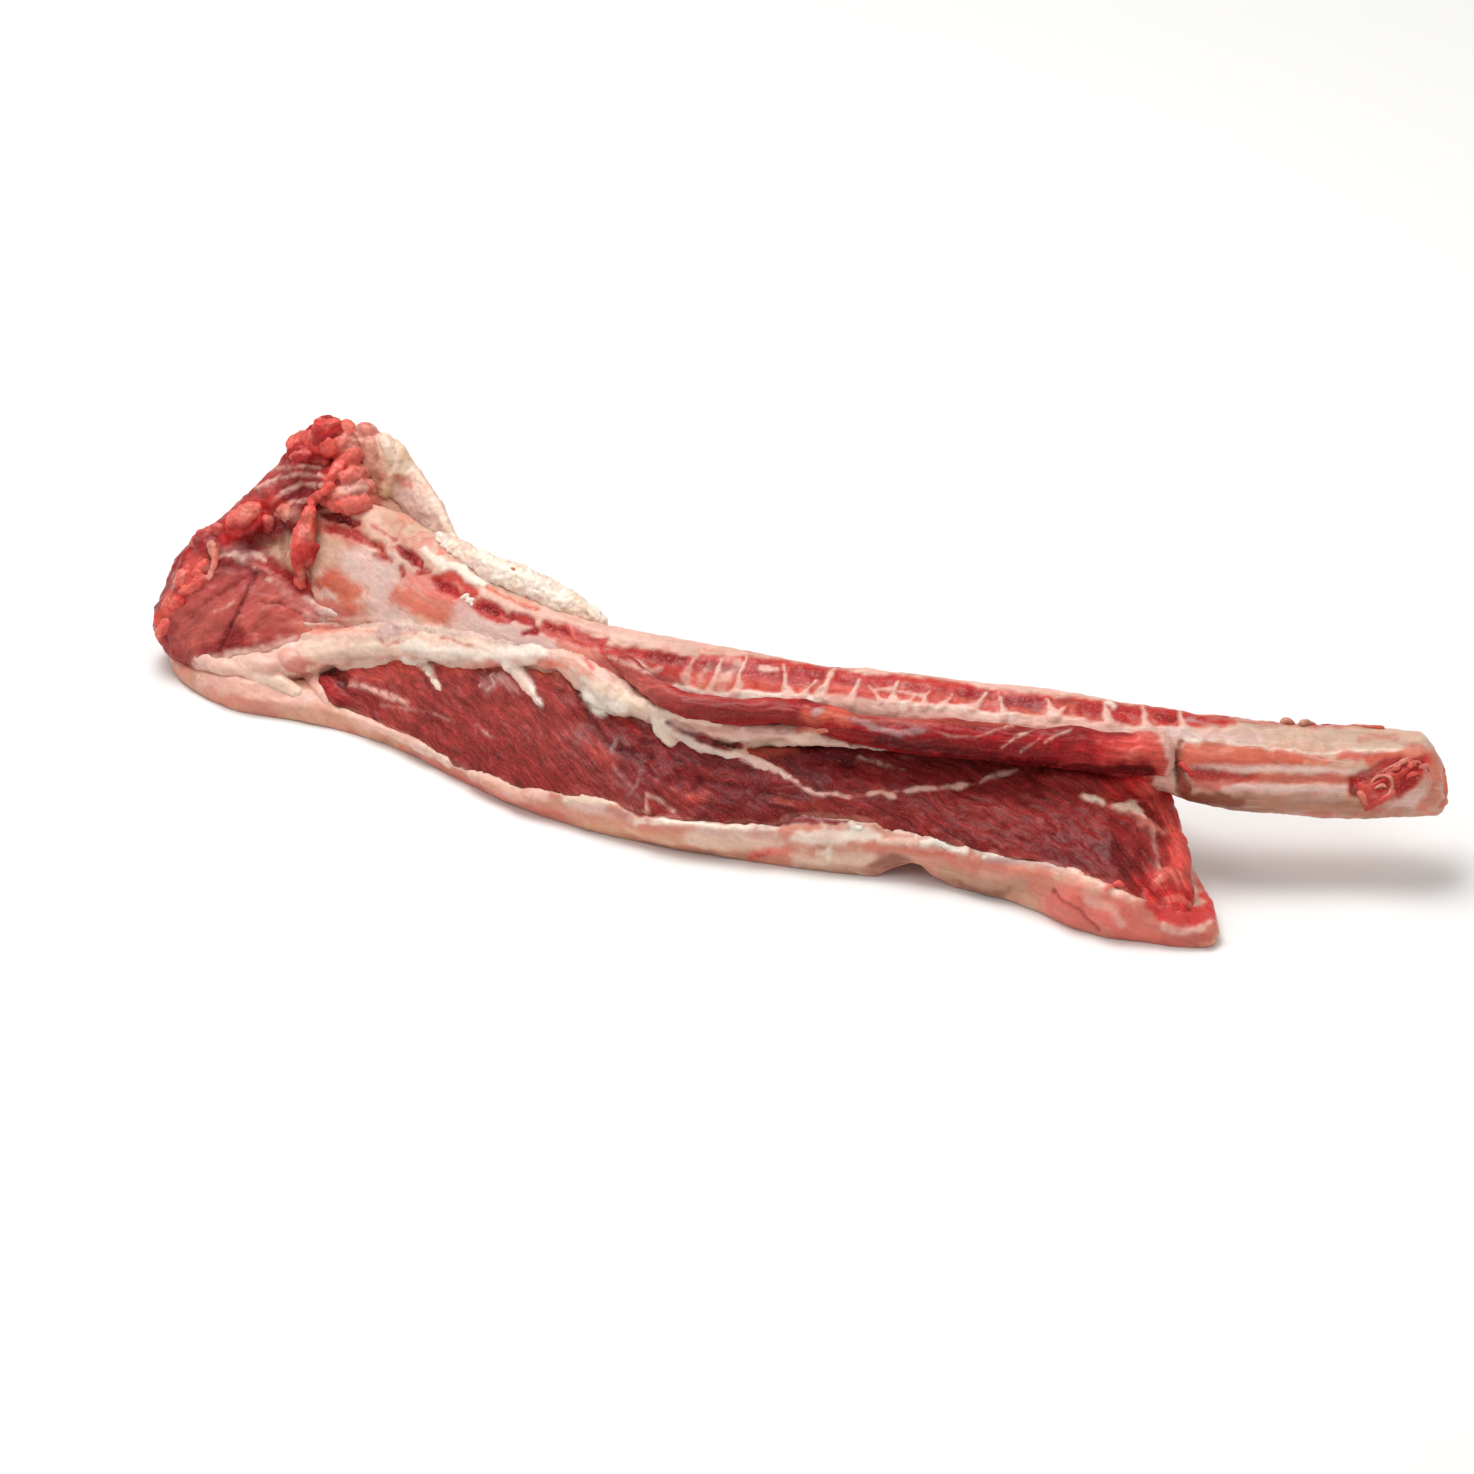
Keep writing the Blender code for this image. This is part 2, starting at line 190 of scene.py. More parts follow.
def strokeMask(flat, path, width, soft, rag):  # 1 on a stroke of the path, 0 away from it
    best = np.full(len(flat), 1e9)
    for a, b in zip(path, path[1:] if len(path) > 1 else path):
        start, run = np.array(a[:2], float), np.array(b[:2], float) - np.array(a[:2], float)
        t = np.clip((flat - start) @ run / max(run @ run, 1e-6), 0, 1)
        thick = width
        if len(a) > 2:
            thick = a[2] + (b[2] - a[2]) * t
        away = np.hypot(*(flat - start - t[:, None] * run).T)
        best = np.minimum(best, away - thick)
    return 1 - ease(best + rag * (0.35 * soft + 0.6), -soft * 0.5, soft * 0.5)


# mesh helpers
def selectOnly(thing):
    if bpy.context.object and bpy.context.object.mode != "OBJECT":
        bpy.ops.object.mode_set(mode="OBJECT")
    bpy.ops.object.select_all(action="DESELECT")
    thing.select_set(True)
    bpy.context.view_layer.objects.active = thing


def applyAll(piece):
    selectOnly(piece)
    for modifier in list(piece.modifiers):
        bpy.ops.object.modifier_apply(modifier=modifier.name)


def reskin(piece, voxel, rounds):  # even, closed skin that can be worked in detail
    skin = piece.modifiers.new("skin", "REMESH")
    skin.mode = "VOXEL"
    skin.voxel_size = voxel
    soften = piece.modifiers.new("soften", "SMOOTH")
    soften.factor = 0.5
    soften.iterations = rounds
    applyAll(piece)


def readMesh(piece):
    count = len(piece.data.vertices)
    spots, ways = np.empty(count * 3, np.float32), np.empty(count * 3, np.float32)
    piece.data.vertices.foreach_get("co", spots)
    piece.data.vertices.foreach_get("normal", ways)
    return spots.reshape(-1, 3).astype(float), ways.reshape(-1, 3).astype(float)


def writeMesh(piece, spots):
    spots = np.clip(spots, *np.array(cadBox))
    piece.data.vertices.foreach_set("co", spots.astype(np.float32).ravel())
    piece.data.update()


def copyNode(nodeName, name, look):
    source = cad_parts[nodeName]
    piece = bpy.data.objects.new(name, source.data.copy())
    bpy.context.scene.collection.objects.link(piece)
    selectOnly(piece)
    bpy.ops.object.mode_set(mode="EDIT")
    bpy.ops.mesh.select_all(action="SELECT")
    bpy.ops.mesh.remove_doubles(threshold=0.00001)
    bpy.ops.mesh.normals_make_consistent(inside=False)
    bpy.ops.object.mode_set(mode="OBJECT")
    bpy.ops.mesh.customdata_custom_splitnormals_clear()
    piece.data.materials.clear()
    if "fused" in look:
        extra = strandMesh(name + "Extra", look["fused"])
        selectOnly(piece)
        extra.select_set(True)
        bpy.ops.object.join()
    swell = piece.modifiers.new("swell", "DISPLACE")
    swell.strength = look["swell"] * mm
    swell.mid_level = 0.0
    reskin(piece, look["voxel"] * mm, look["rounds"])
    return piece


def treeOf(*names):
    spots, faces = [], []
    for name in names:
        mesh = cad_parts[name].data
        first = len(spots)
        spots += [v.co.copy() for v in mesh.vertices]
        faces += [[first + i for i in p.vertices] for p in mesh.polygons]
    return BVHTree.FromPolygons(spots, faces)


wholeTree = treeOf(*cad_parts)


nearSteps = ((0, 0), (0, 2), (2, 0), (0, -2), (-2, 0), (0, 5), (-5, 0), (5, 0), (0, -5))  # in pixels


def surfaceAt(u, v):  # where the camera's line through a picture point meets the meat, or just beside it
    for right, down in nearSteps:
        start, way = rayThrough(u + right, v + down)
        hit, normal, _, _ = wholeTree.ray_cast(start, way)
        if hit:
            return np.array(hit), np.array(normal)
    print("no surface at", u, v)
    hit = start + way * shot["distance"]
    return np.array(hit), -np.array(way)


def gapTo(spots, tree, most=12 * mm):
    gaps = np.full(len(spots), most)
    for i, spot in enumerate(spots):
        near = tree.find_nearest(Vector(spot), most)
        if near[3] is not None:
            gaps[i] = near[3]
    return gaps


def store(mesh, name, kind, slot, values):
    layer = mesh.attributes.new(name, kind, "POINT")
    layer.data.foreach_set(slot, values.astype(np.float32).ravel())


# the direction of the fibres
def grainOf(spots, look):  # along, across and into the fibres, in fibre lengths and widths
    places, slopes = zip(*look.get("slope", ((-220, 35), (220, 35))))  # x in mm, degrees downhill
    reach = np.linspace(-240, 240, 481)
    slope = np.radians(np.interp(reach, places, slopes))
    x, y, z = spots.T / mm
    along = np.interp(x, reach, np.cumsum(1 / np.cos(slope)))
    across = y * math.sin(tilt) + z * math.cos(tilt) + np.interp(x, reach, np.cumsum(np.tan(slope)))
    into = y * math.cos(tilt) - z * math.sin(tilt)
    middle, reachOf, amount = look.get("swirl", (0, 1, 0))  # x in mm, half length and strength
    stir = 1 + amount * np.exp(-(((x - middle) / reachOf) ** 2))
    wander = noiseOf(spots, "wanderWide") * 2.4 + noiseOf(spots, "wanderFine") * 0.8
    length, width = look["fibre"]
    return np.stack((along / length, (across + wander * stir) / width, into / (width * 3)), axis=1)


# working and painting a piece
# A look is in mm, and places (u, v) and the widths of strokes are in pixels of the picture.
# swell, voxel, rounds: how far the copy grows, the grid of its new skin, and how often that is smoothed
# slope, fibre, swirl: (x, degrees downhill) of the fibres, their length and width, and a stirred place
# lumps: size, height, seed
# blotches: paint, size, level, softness, amount, seed
# meets: neighbours, paint, reach, amount, rise
# strokes: paint, half width, softness, rise, path of (u, v) or (u, v, half width), amount
# fused, strands: paint or first and last paint, then (u, v, radius) or (u, v, radius, lift)
brush = {
    "leastSoft": 3.5, "stray": 0.45, "mostStray": 3.0, "margin": 5,
    "wide": (9, 14), "mottle": 0.4,  # wide strokes are mottled
    "thin": (1.5, 5.0), "gaps": 0.75,  # thin ones are broken up
}


def paintAllOver(spots, look, tint, fatty):  # blotches, on the back and the underside too
    for colour, size, level, soft, amount, seed in look.get("blotches", ()):
        share = ease(clouds(spots, size * mm, seed, 3), level - soft, level + soft) * amount
        layPaint(tint, fatty, colour, share)


def paintMeetings(spots, look, tint, fatty, lift):  # where it meets its neighbours
    for names, colour, reach, amount, rise in look.get("meets", ()):
        gap = gapTo(spots, treeOf(*names)) / mm
        mask = 1 - ease(gap + noiseOf(spots, "meeting") * reach * 0.6, reach * 0.3, reach)
        layPaint(tint, fatty, colour, mask * amount)
        lift += mask * rise


def paintFused(spots, look, tint, fatty):  # strands that are one with the piece
    if "fused" not in look:
        return
    over, overFat, _, gap = strandTint(spots, look["fused"])
    mask = 1 - ease(gap + noiseOf(spots, "joining") * 0.7, look["swell"], look["swell"] + 1.0)
    tint += (over - tint) * mask[:, None]
    fatty += (overFat - fatty) * mask


def paintStrokes(spots, ways, look, tint, fatty, lift):  # strokes put down by place, on what faces the front
    flat = pictureOf(spots)
    toCamera = camPlace - spots
    toCamera /= np.linalg.norm(toCamera, axis=1)[:, None]
    facing = ease(np.sum(ways * toCamera, axis=1), -0.05, 0.25)
    stray = np.stack((noiseOf(spots, "strayU"), noiseOf(spots, "strayV")), axis=1)
    ragged = noiseOf(spots, "ragged")
    mottled = ease(noiseOf(spots, "mottled"), 0.1, 0.7) * brush["mottle"]
    broken = ease(noiseOf(spots, "broken"), 0.1, 0.6) * brush["gaps"]
    for colour, width, soft, rise, path, *amount in look.get("strokes", ()):
        widest = max([width] + [p[2] for p in path if len(p) > 2])
        pad = widest + soft + brush["margin"]
        corners = np.array([p[:2] for p in path])
        inside = (flat > corners.min(axis=0) - pad) & (flat < corners.max(axis=0) + pad)
        near = inside.all(axis=1) & (facing > 0.01)
        if not near.any():
            continue
        moved = flat[near] + stray[near] * min(widest * brush["stray"], brush["mostStray"])
        mask = strokeMask(moved, path, width, max(soft, brush["leastSoft"]), ragged[near]) * facing[near]
        strength = mask * (amount[0] if amount else 1.0) * (1 - mottled[near] * ease(widest, *brush["wide"]))
        strength *= 1 - broken[near] * (1 - ease(widest, *brush["thin"]))
        wet, fat = tint[near], fatty[near]
        layPaint(wet, fat, colour, strength)
        tint[near], fatty[near] = wet, fat
        lift[near] += mask * rise


def reliefOf(spots, look, fatty, grain):  # lumps, fibres and crumbs, in mm
    relief = noiseOf(spots, "crumb") * look["crumb"] * (0.4 + 0.6 * fatty)
    for size, height, seed in look.get("lumps", ()):
        relief += clouds(spots, size * mm, seed, 2) * height
    if "fibreHeight" in look:
        strands = clouds(grain * np.array((1.0, 0.45, 0.45)), 1.0, 31, 2)
        relief += strands * look["fibreHeight"] * (1 - 0.7 * fatty)
    return relief


def dress(piece, look, ground=None, sunk=0.0):
    spots, ways = readMesh(piece)
    if ground is None:
        *shade, fat = paints[look["base"]]
        ground = np.tile(linear(shade), (len(spots), 1)), np.full(len(spots), fat)
    tint, fatty = ground
    lift = np.zeros(len(spots)) + sunk
    paintAllOver(spots, look, tint, fatty)
    paintMeetings(spots, look, tint, fatty, lift)
    paintFused(spots, look, tint, fatty)
    paintStrokes(spots, ways, look, tint, fatty, lift)
    grain = grainOf(spots, look)
    lift += reliefOf(spots, look, fatty, grain)
    lift *= ease(spots[:, 2] / mm, 0.0, 1.2)  # the flat underside stays flat
    writeMesh(piece, spots + ways * (lift * mm)[:, None])
    colour = np.column_stack((np.clip(tint, 0, 1), np.ones(len(tint))))
    store(piece.data, "tint", "FLOAT_COLOR", "color", colour)
    store(piece.data, "fatty", "FLOAT", "value", np.clip(fatty, 0, 1))
    store(piece.data, "grain", "FLOAT_VECTOR", "vector", grain)
    selectOnly(piece)
    bpy.ops.object.shade_smooth()


# strands and lumps laid on the meat
strandShape = {"joints": 6, "rounds": 3, "tips": (0.55, 0.85), "sides": 4}


def strandPoints(path):  # evenly joined points on the surface, and the radius at each
    met = [surfaceAt(u, v) for u, v, *_ in path]
    away = sum(way for _, way in met)
    away /= np.linalg.norm(away)
    lifts = [p[3] if len(p) > 3 else 0.0 for p in path]
    knots = np.array([spot + away * rise * mm for (spot, _), rise in zip(met, lifts)])
    steps = np.arange(len(path))
    fine = np.linspace(0, steps[-1], strandShape["joints"] * steps[-1] + 1)
    spots = np.stack([np.interp(fine, steps, axis) for axis in knots.T], axis=1)
    for _ in range(strandShape["rounds"]):
        spots[1:-1] = (spots[:-2] + 2 * spots[1:-1] + spots[2:]) / 4
    size = np.interp(fine, steps, [float(p[2]) for p in path])
    for k, share in enumerate(strandShape["tips"]):
        size[[k, -1 - k]] *= share
    return spots, size


def strandTint(spots, strands):  # each point takes the colour of the strand that it lies nearest to
    gaps, colours, fats = [], [], []
    for colour, *path in strands:
        first, last = colour if isinstance(colour, tuple) else (colour, colour)
        gap, share = np.full(len(spots), 1e9), np.zeros(len(spots))
        centres, radii = strandPoints(path)
        for k, (centre, radius) in enumerate(zip(centres, radii)):
            away = np.linalg.norm(spots - centre, axis=1) / mm - radius
            share = np.where(away < gap, k / (len(radii) - 1), share)
            gap = np.minimum(gap, away)
        gaps.append(gap)
        mix = share[:, None]
        colours.append(linear(paints[first][:3]) * (1 - mix) + linear(paints[last][:3]) * mix)
        fats.append(paints[first][3] * (1 - share) + paints[last][3] * share)
    gaps = np.array(gaps)
    weights = np.exp(-(gaps - gaps.min(axis=0)) / 0.5)
    weights /= weights.sum(axis=0)
    tint = (weights[:, :, None] * np.array(colours)).sum(axis=0)
    fatty = (weights * np.array(fats)).sum(axis=0)
    nearest = np.sort(gaps, axis=0)
    # shadedCrease: 1 where two strands lie close together; it marks the creases that get painted shade
    shadedCrease = 1 - ease(nearest[1] - nearest[0], 0.1, 1.3) if len(gaps) > 1 else np.zeros(len(spots))
    return tint, fatty, shadedCrease, nearest[0]


def strandMesh(name, strands):
    bpy.ops.object.select_all(action="DESELECT")
    bpy.ops.curve.primitive_nurbs_path_add(location=(0, 0, 0))
    piece = bpy.context.object
    piece.name = name
    piece.data.splines.clear()
    piece.data.bevel_depth = mm
    piece.data.bevel_resolution = strandShape["sides"]
    piece.data.use_fill_caps = True
    for _, *path in strands:
        spots, size = strandPoints(path)
        spline = piece.data.splines.new("POLY")
        spline.points.add(len(spots) - 1)
        spline.points.foreach_set("co", np.column_stack((spots, np.ones(len(spots)))).ravel())
        spline.points.foreach_set("radius", size)
    bpy.ops.object.convert(target="MESH")
    return bpy.context.object


def makeStrands(name, look, finish):
    piece = strandMesh(name, look["strands"])
    reskin(piece, look["voxel"] * mm, look["rounds"])
    spots, _ = readMesh(piece)
    tint, fatty, shadedCrease, _ = strandTint(spots, look["strands"])
    # painted shade: the creases between strands are mixed towards the deep paint, and the same mask sinks
    # them
    depth = look.get("shadedCrease", 0.0) * shadedCrease * ease(noiseOf(spots, "creasing"), -0.5, 0.2)
    tint += (linear(paints["deep"][:3]) - tint) * (depth * 0.8)[:, None]
    dress(piece, look, (tint, fatty), -0.8 * depth)
    finishPiece(piece, (), finish)


def finishPiece(piece, nodes, finish):
    piece.data.materials.clear()
    piece.data.materials.append(finish)
    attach(piece, "root")
    if nodes:
        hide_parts(*nodes)
    print("made", piece.name, len(piece.data.polygons), "faces")


def makePiece(node, name, look, finish):
    piece = copyNode(node, name, look)
    if "arch" in look:
        liftEdge(piece, look["arch"])
    dress(piece, look)
    finishPiece(piece, (node,), finish)


# finishes
def tissue(name, look):
    made = bpy.data.materials.new(name)
    made.use_nodes = True
    tree = made.node_tree
    shader = tree.nodes["Principled BSDF"]

    def add(kind, **values):
        node = tree.nodes.new(kind)
        for key, value in values.items():
            setattr(node, key, value)
        return node

    def join(a, out, b, into):
        tree.links.new(a.outputs[out], b.inputs[into])

    def ranged(source, out, low, high, start, end):
        node = add("ShaderNodeMapRange")
        join(source, out, node, "Value")
        for key, value in (("From Min", low), ("From Max", high), ("To Min", start), ("To Max", end)):
            node.inputs[key].default_value = value
        return node

    def times(a, b):
        node = add("ShaderNodeMath", operation="MULTIPLY")
        join(a, 0, node, 0)
        join(b, 0, node, 1)
        return node

    def noiseOn(vector, out, scale, detail, rough=0.55, twist=0.0):
        node = add("ShaderNodeTexNoise")
        node.inputs["Scale"].default_value = scale
        node.inputs["Detail"].default_value = detail
        node.inputs["Roughness"].default_value = rough
        node.inputs["Distortion"].default_value = twist
        join(vector, out, node, "Vector")
        return node

    def mixed(blend, a, aOut, b, bOut, factor):
        node = add("ShaderNodeMix", data_type="RGBA", blend_type=blend)
        if isinstance(factor, float):
            node.inputs[0].default_value = factor
        else:
            join(factor, 0, node, 0)
        join(a, aOut, node, 6)
        if isinstance(b, tuple):
            node.inputs[7].default_value = (*linear(b), 1.0)
        else:
            join(b, bOut, node, 7)
        return node

    tint = add("ShaderNodeAttribute", attribute_name="tint")
    fatty = add("ShaderNodeAttribute", attribute_name="fatty")
    grain = add("ShaderNodeAttribute", attribute_name="grain")
    place = add("ShaderNodeTexCoord")

    fibres = noiseOn(grain, "Vector", 1.0, 3.0, 0.6, 0.3)
    bundles = noiseOn(grain, "Vector", 0.28, 2.0, 0.5, 0.2)
    speck = noiseOn(place, "Object", 900.0, 3.0, 0.6)
    drift = noiseOn(place, "Object", 110.0, 3.0, 0.55)

    calm = ranged(fatty, "Fac", 0.0, 1.0, 1.0, look["fatStreak"])
    colour, out = tint, "Color"
    for source, low, darker, lighter, share in (
        (fibres, 0.3, look["streak"], look["streak"] * 0.7, calm),
        (bundles, 0.32, look["streak"] * 0.8, look["streak"] * 0.5, calm),
        (drift, 0.3, look["drift"], look["drift"] * 0.6, 1.0),
        (speck, 0.3, look["speck"], look["speck"] * 0.6, 1.0),
    ):
        shade = ranged(source, "Fac", low, 1 - low, 1 - darker, 1 + lighter)
        colour, out = mixed("MULTIPLY", colour, out, shade, "Result", share), 2
    # pale flecks along the fibres, stain that drifts through the fat, pale specks in open bone and wet lean
    flecks = noiseOn(grain, "Vector", 0.45, 4.0, 0.6, 0.4)
    stain = noiseOn(place, "Object", 55.0, 4.0, 0.6, 0.5)
    sponge = noiseOn(place, "Object", 1300.0, 2.0, 0.5)
    for name, source, low, width, fatRange in (
        ("fleck", flecks, look["fleckLevel"], 0.12, (0.0, 0.8, look["onLean"], look["onFat"])),
        ("stain", stain, 0.52, 0.18, (0.3, 0.8, 0.0, 1.0)),
        ("sponge", sponge, 0.56, 0.1, (0.0, 0.5, 1.0, 0.0)),
    ):
        mask = ranged(source, "Fac", low, low + width, 0.0, look[name])
        mask = times(mask, ranged(fatty, "Fac", *fatRange))
        colour = mixed("MIX", colour, 2, look[name + "Colour"], 0, mask)
    join(colour, 2, shader, "Base Color")

    wet = noiseOn(place, "Object", 140.0, 4.0, 0.6)
    gloss = ranged(wet, "Fac", 0.35, 0.65, look["rough"][0], look["rough"][1])
    join(gloss, "Result", shader, "Roughness")

    below = None
    for source, strength, height in ((fibres, look["bump"], 0.0004), (speck, look["grit"], 0.0003)):
        bump = add("ShaderNodeBump")
        bump.inputs["Strength"].default_value = strength
        bump.inputs["Distance"].default_value = height
        join(source, "Fac", bump, "Height")
        if below:
            join(below, "Normal", bump, "Normal")
        below = bump
    join(below, "Normal", shader, "Normal")

    for name, least, socket in (("depth", 0.4, "Subsurface Weight"), ("coat", 0.5, "Coat Weight")):
        amount = ranged(fatty, "Fac", 0.0, 0.7, look[name] * least, look[name])
        join(amount, "Result", shader, socket)
    shader.inputs["Subsurface Radius"].default_value = look["bleed"]
    shader.inputs["Subsurface Scale"].default_value = look["bleedSize"]
    shader.inputs["Coat Roughness"].default_value = 0.2
    shader.inputs["Specular IOR Level"].default_value = look["shine"]
    return made


leanFinish = {
    "streak": 0.46, "fatStreak": 0.25, "drift": 0.14, "speck": 0.14,
    "fleck": 0.3, "fleckLevel": 0.64, "fleckColour": (206, 92, 74), "onLean": 1.0, "onFat": 0.3,
    "stain": 0.0, "stainColour": (120, 30, 36), "sponge": 0.12, "spongeColour": (226, 130, 110),
    "rough": (0.26, 0.56), "bump": 0.6, "grit": 0.35,
    "depth": 0.3, "bleed": (1.0, 0.25, 0.18), "bleedSize": 0.0016, "coat": 0.12, "shine": 0.14,
}
fatFinish = {
    "streak": 0.12, "fatStreak": 0.6, "drift": 0.07, "speck": 0.08,
    "fleck": 0.25, "fleckLevel": 0.60, "fleckColour": (244, 232, 216), "onLean": 0.1, "onFat": 1.0,
    "sponge": 0.1, "spongeColour": (226, 130, 110),
    "stain": 0.28, "stainColour": (212, 132, 108),
    "rough": (0.32, 0.52), "bump": 0.3, "grit": 0.45,
    "depth": 0.35, "bleed": (1.0, 0.5, 0.32), "bleedSize": 0.0025, "coat": 0.2, "shine": 0.35,
}
boneFinish = {
    "streak": 0.16, "fatStreak": 0.75, "drift": 0.08, "speck": 0.08,
    "fleck": 0.3, "fleckLevel": 0.60, "fleckColour": (238, 214, 200), "onLean": 0.1, "onFat": 1.0,
    "sponge": 0.45, "spongeColour": (232, 120, 98),
    "stain": 0.22, "stainColour": (196, 104, 84),
    "rough": (0.28, 0.48), "bump": 0.35, "grit": 0.3,
    "depth": 0.3, "bleed": (1.0, 0.4, 0.28), "bleedSize": 0.002, "coat": 0.16, "shine": 0.18,
}


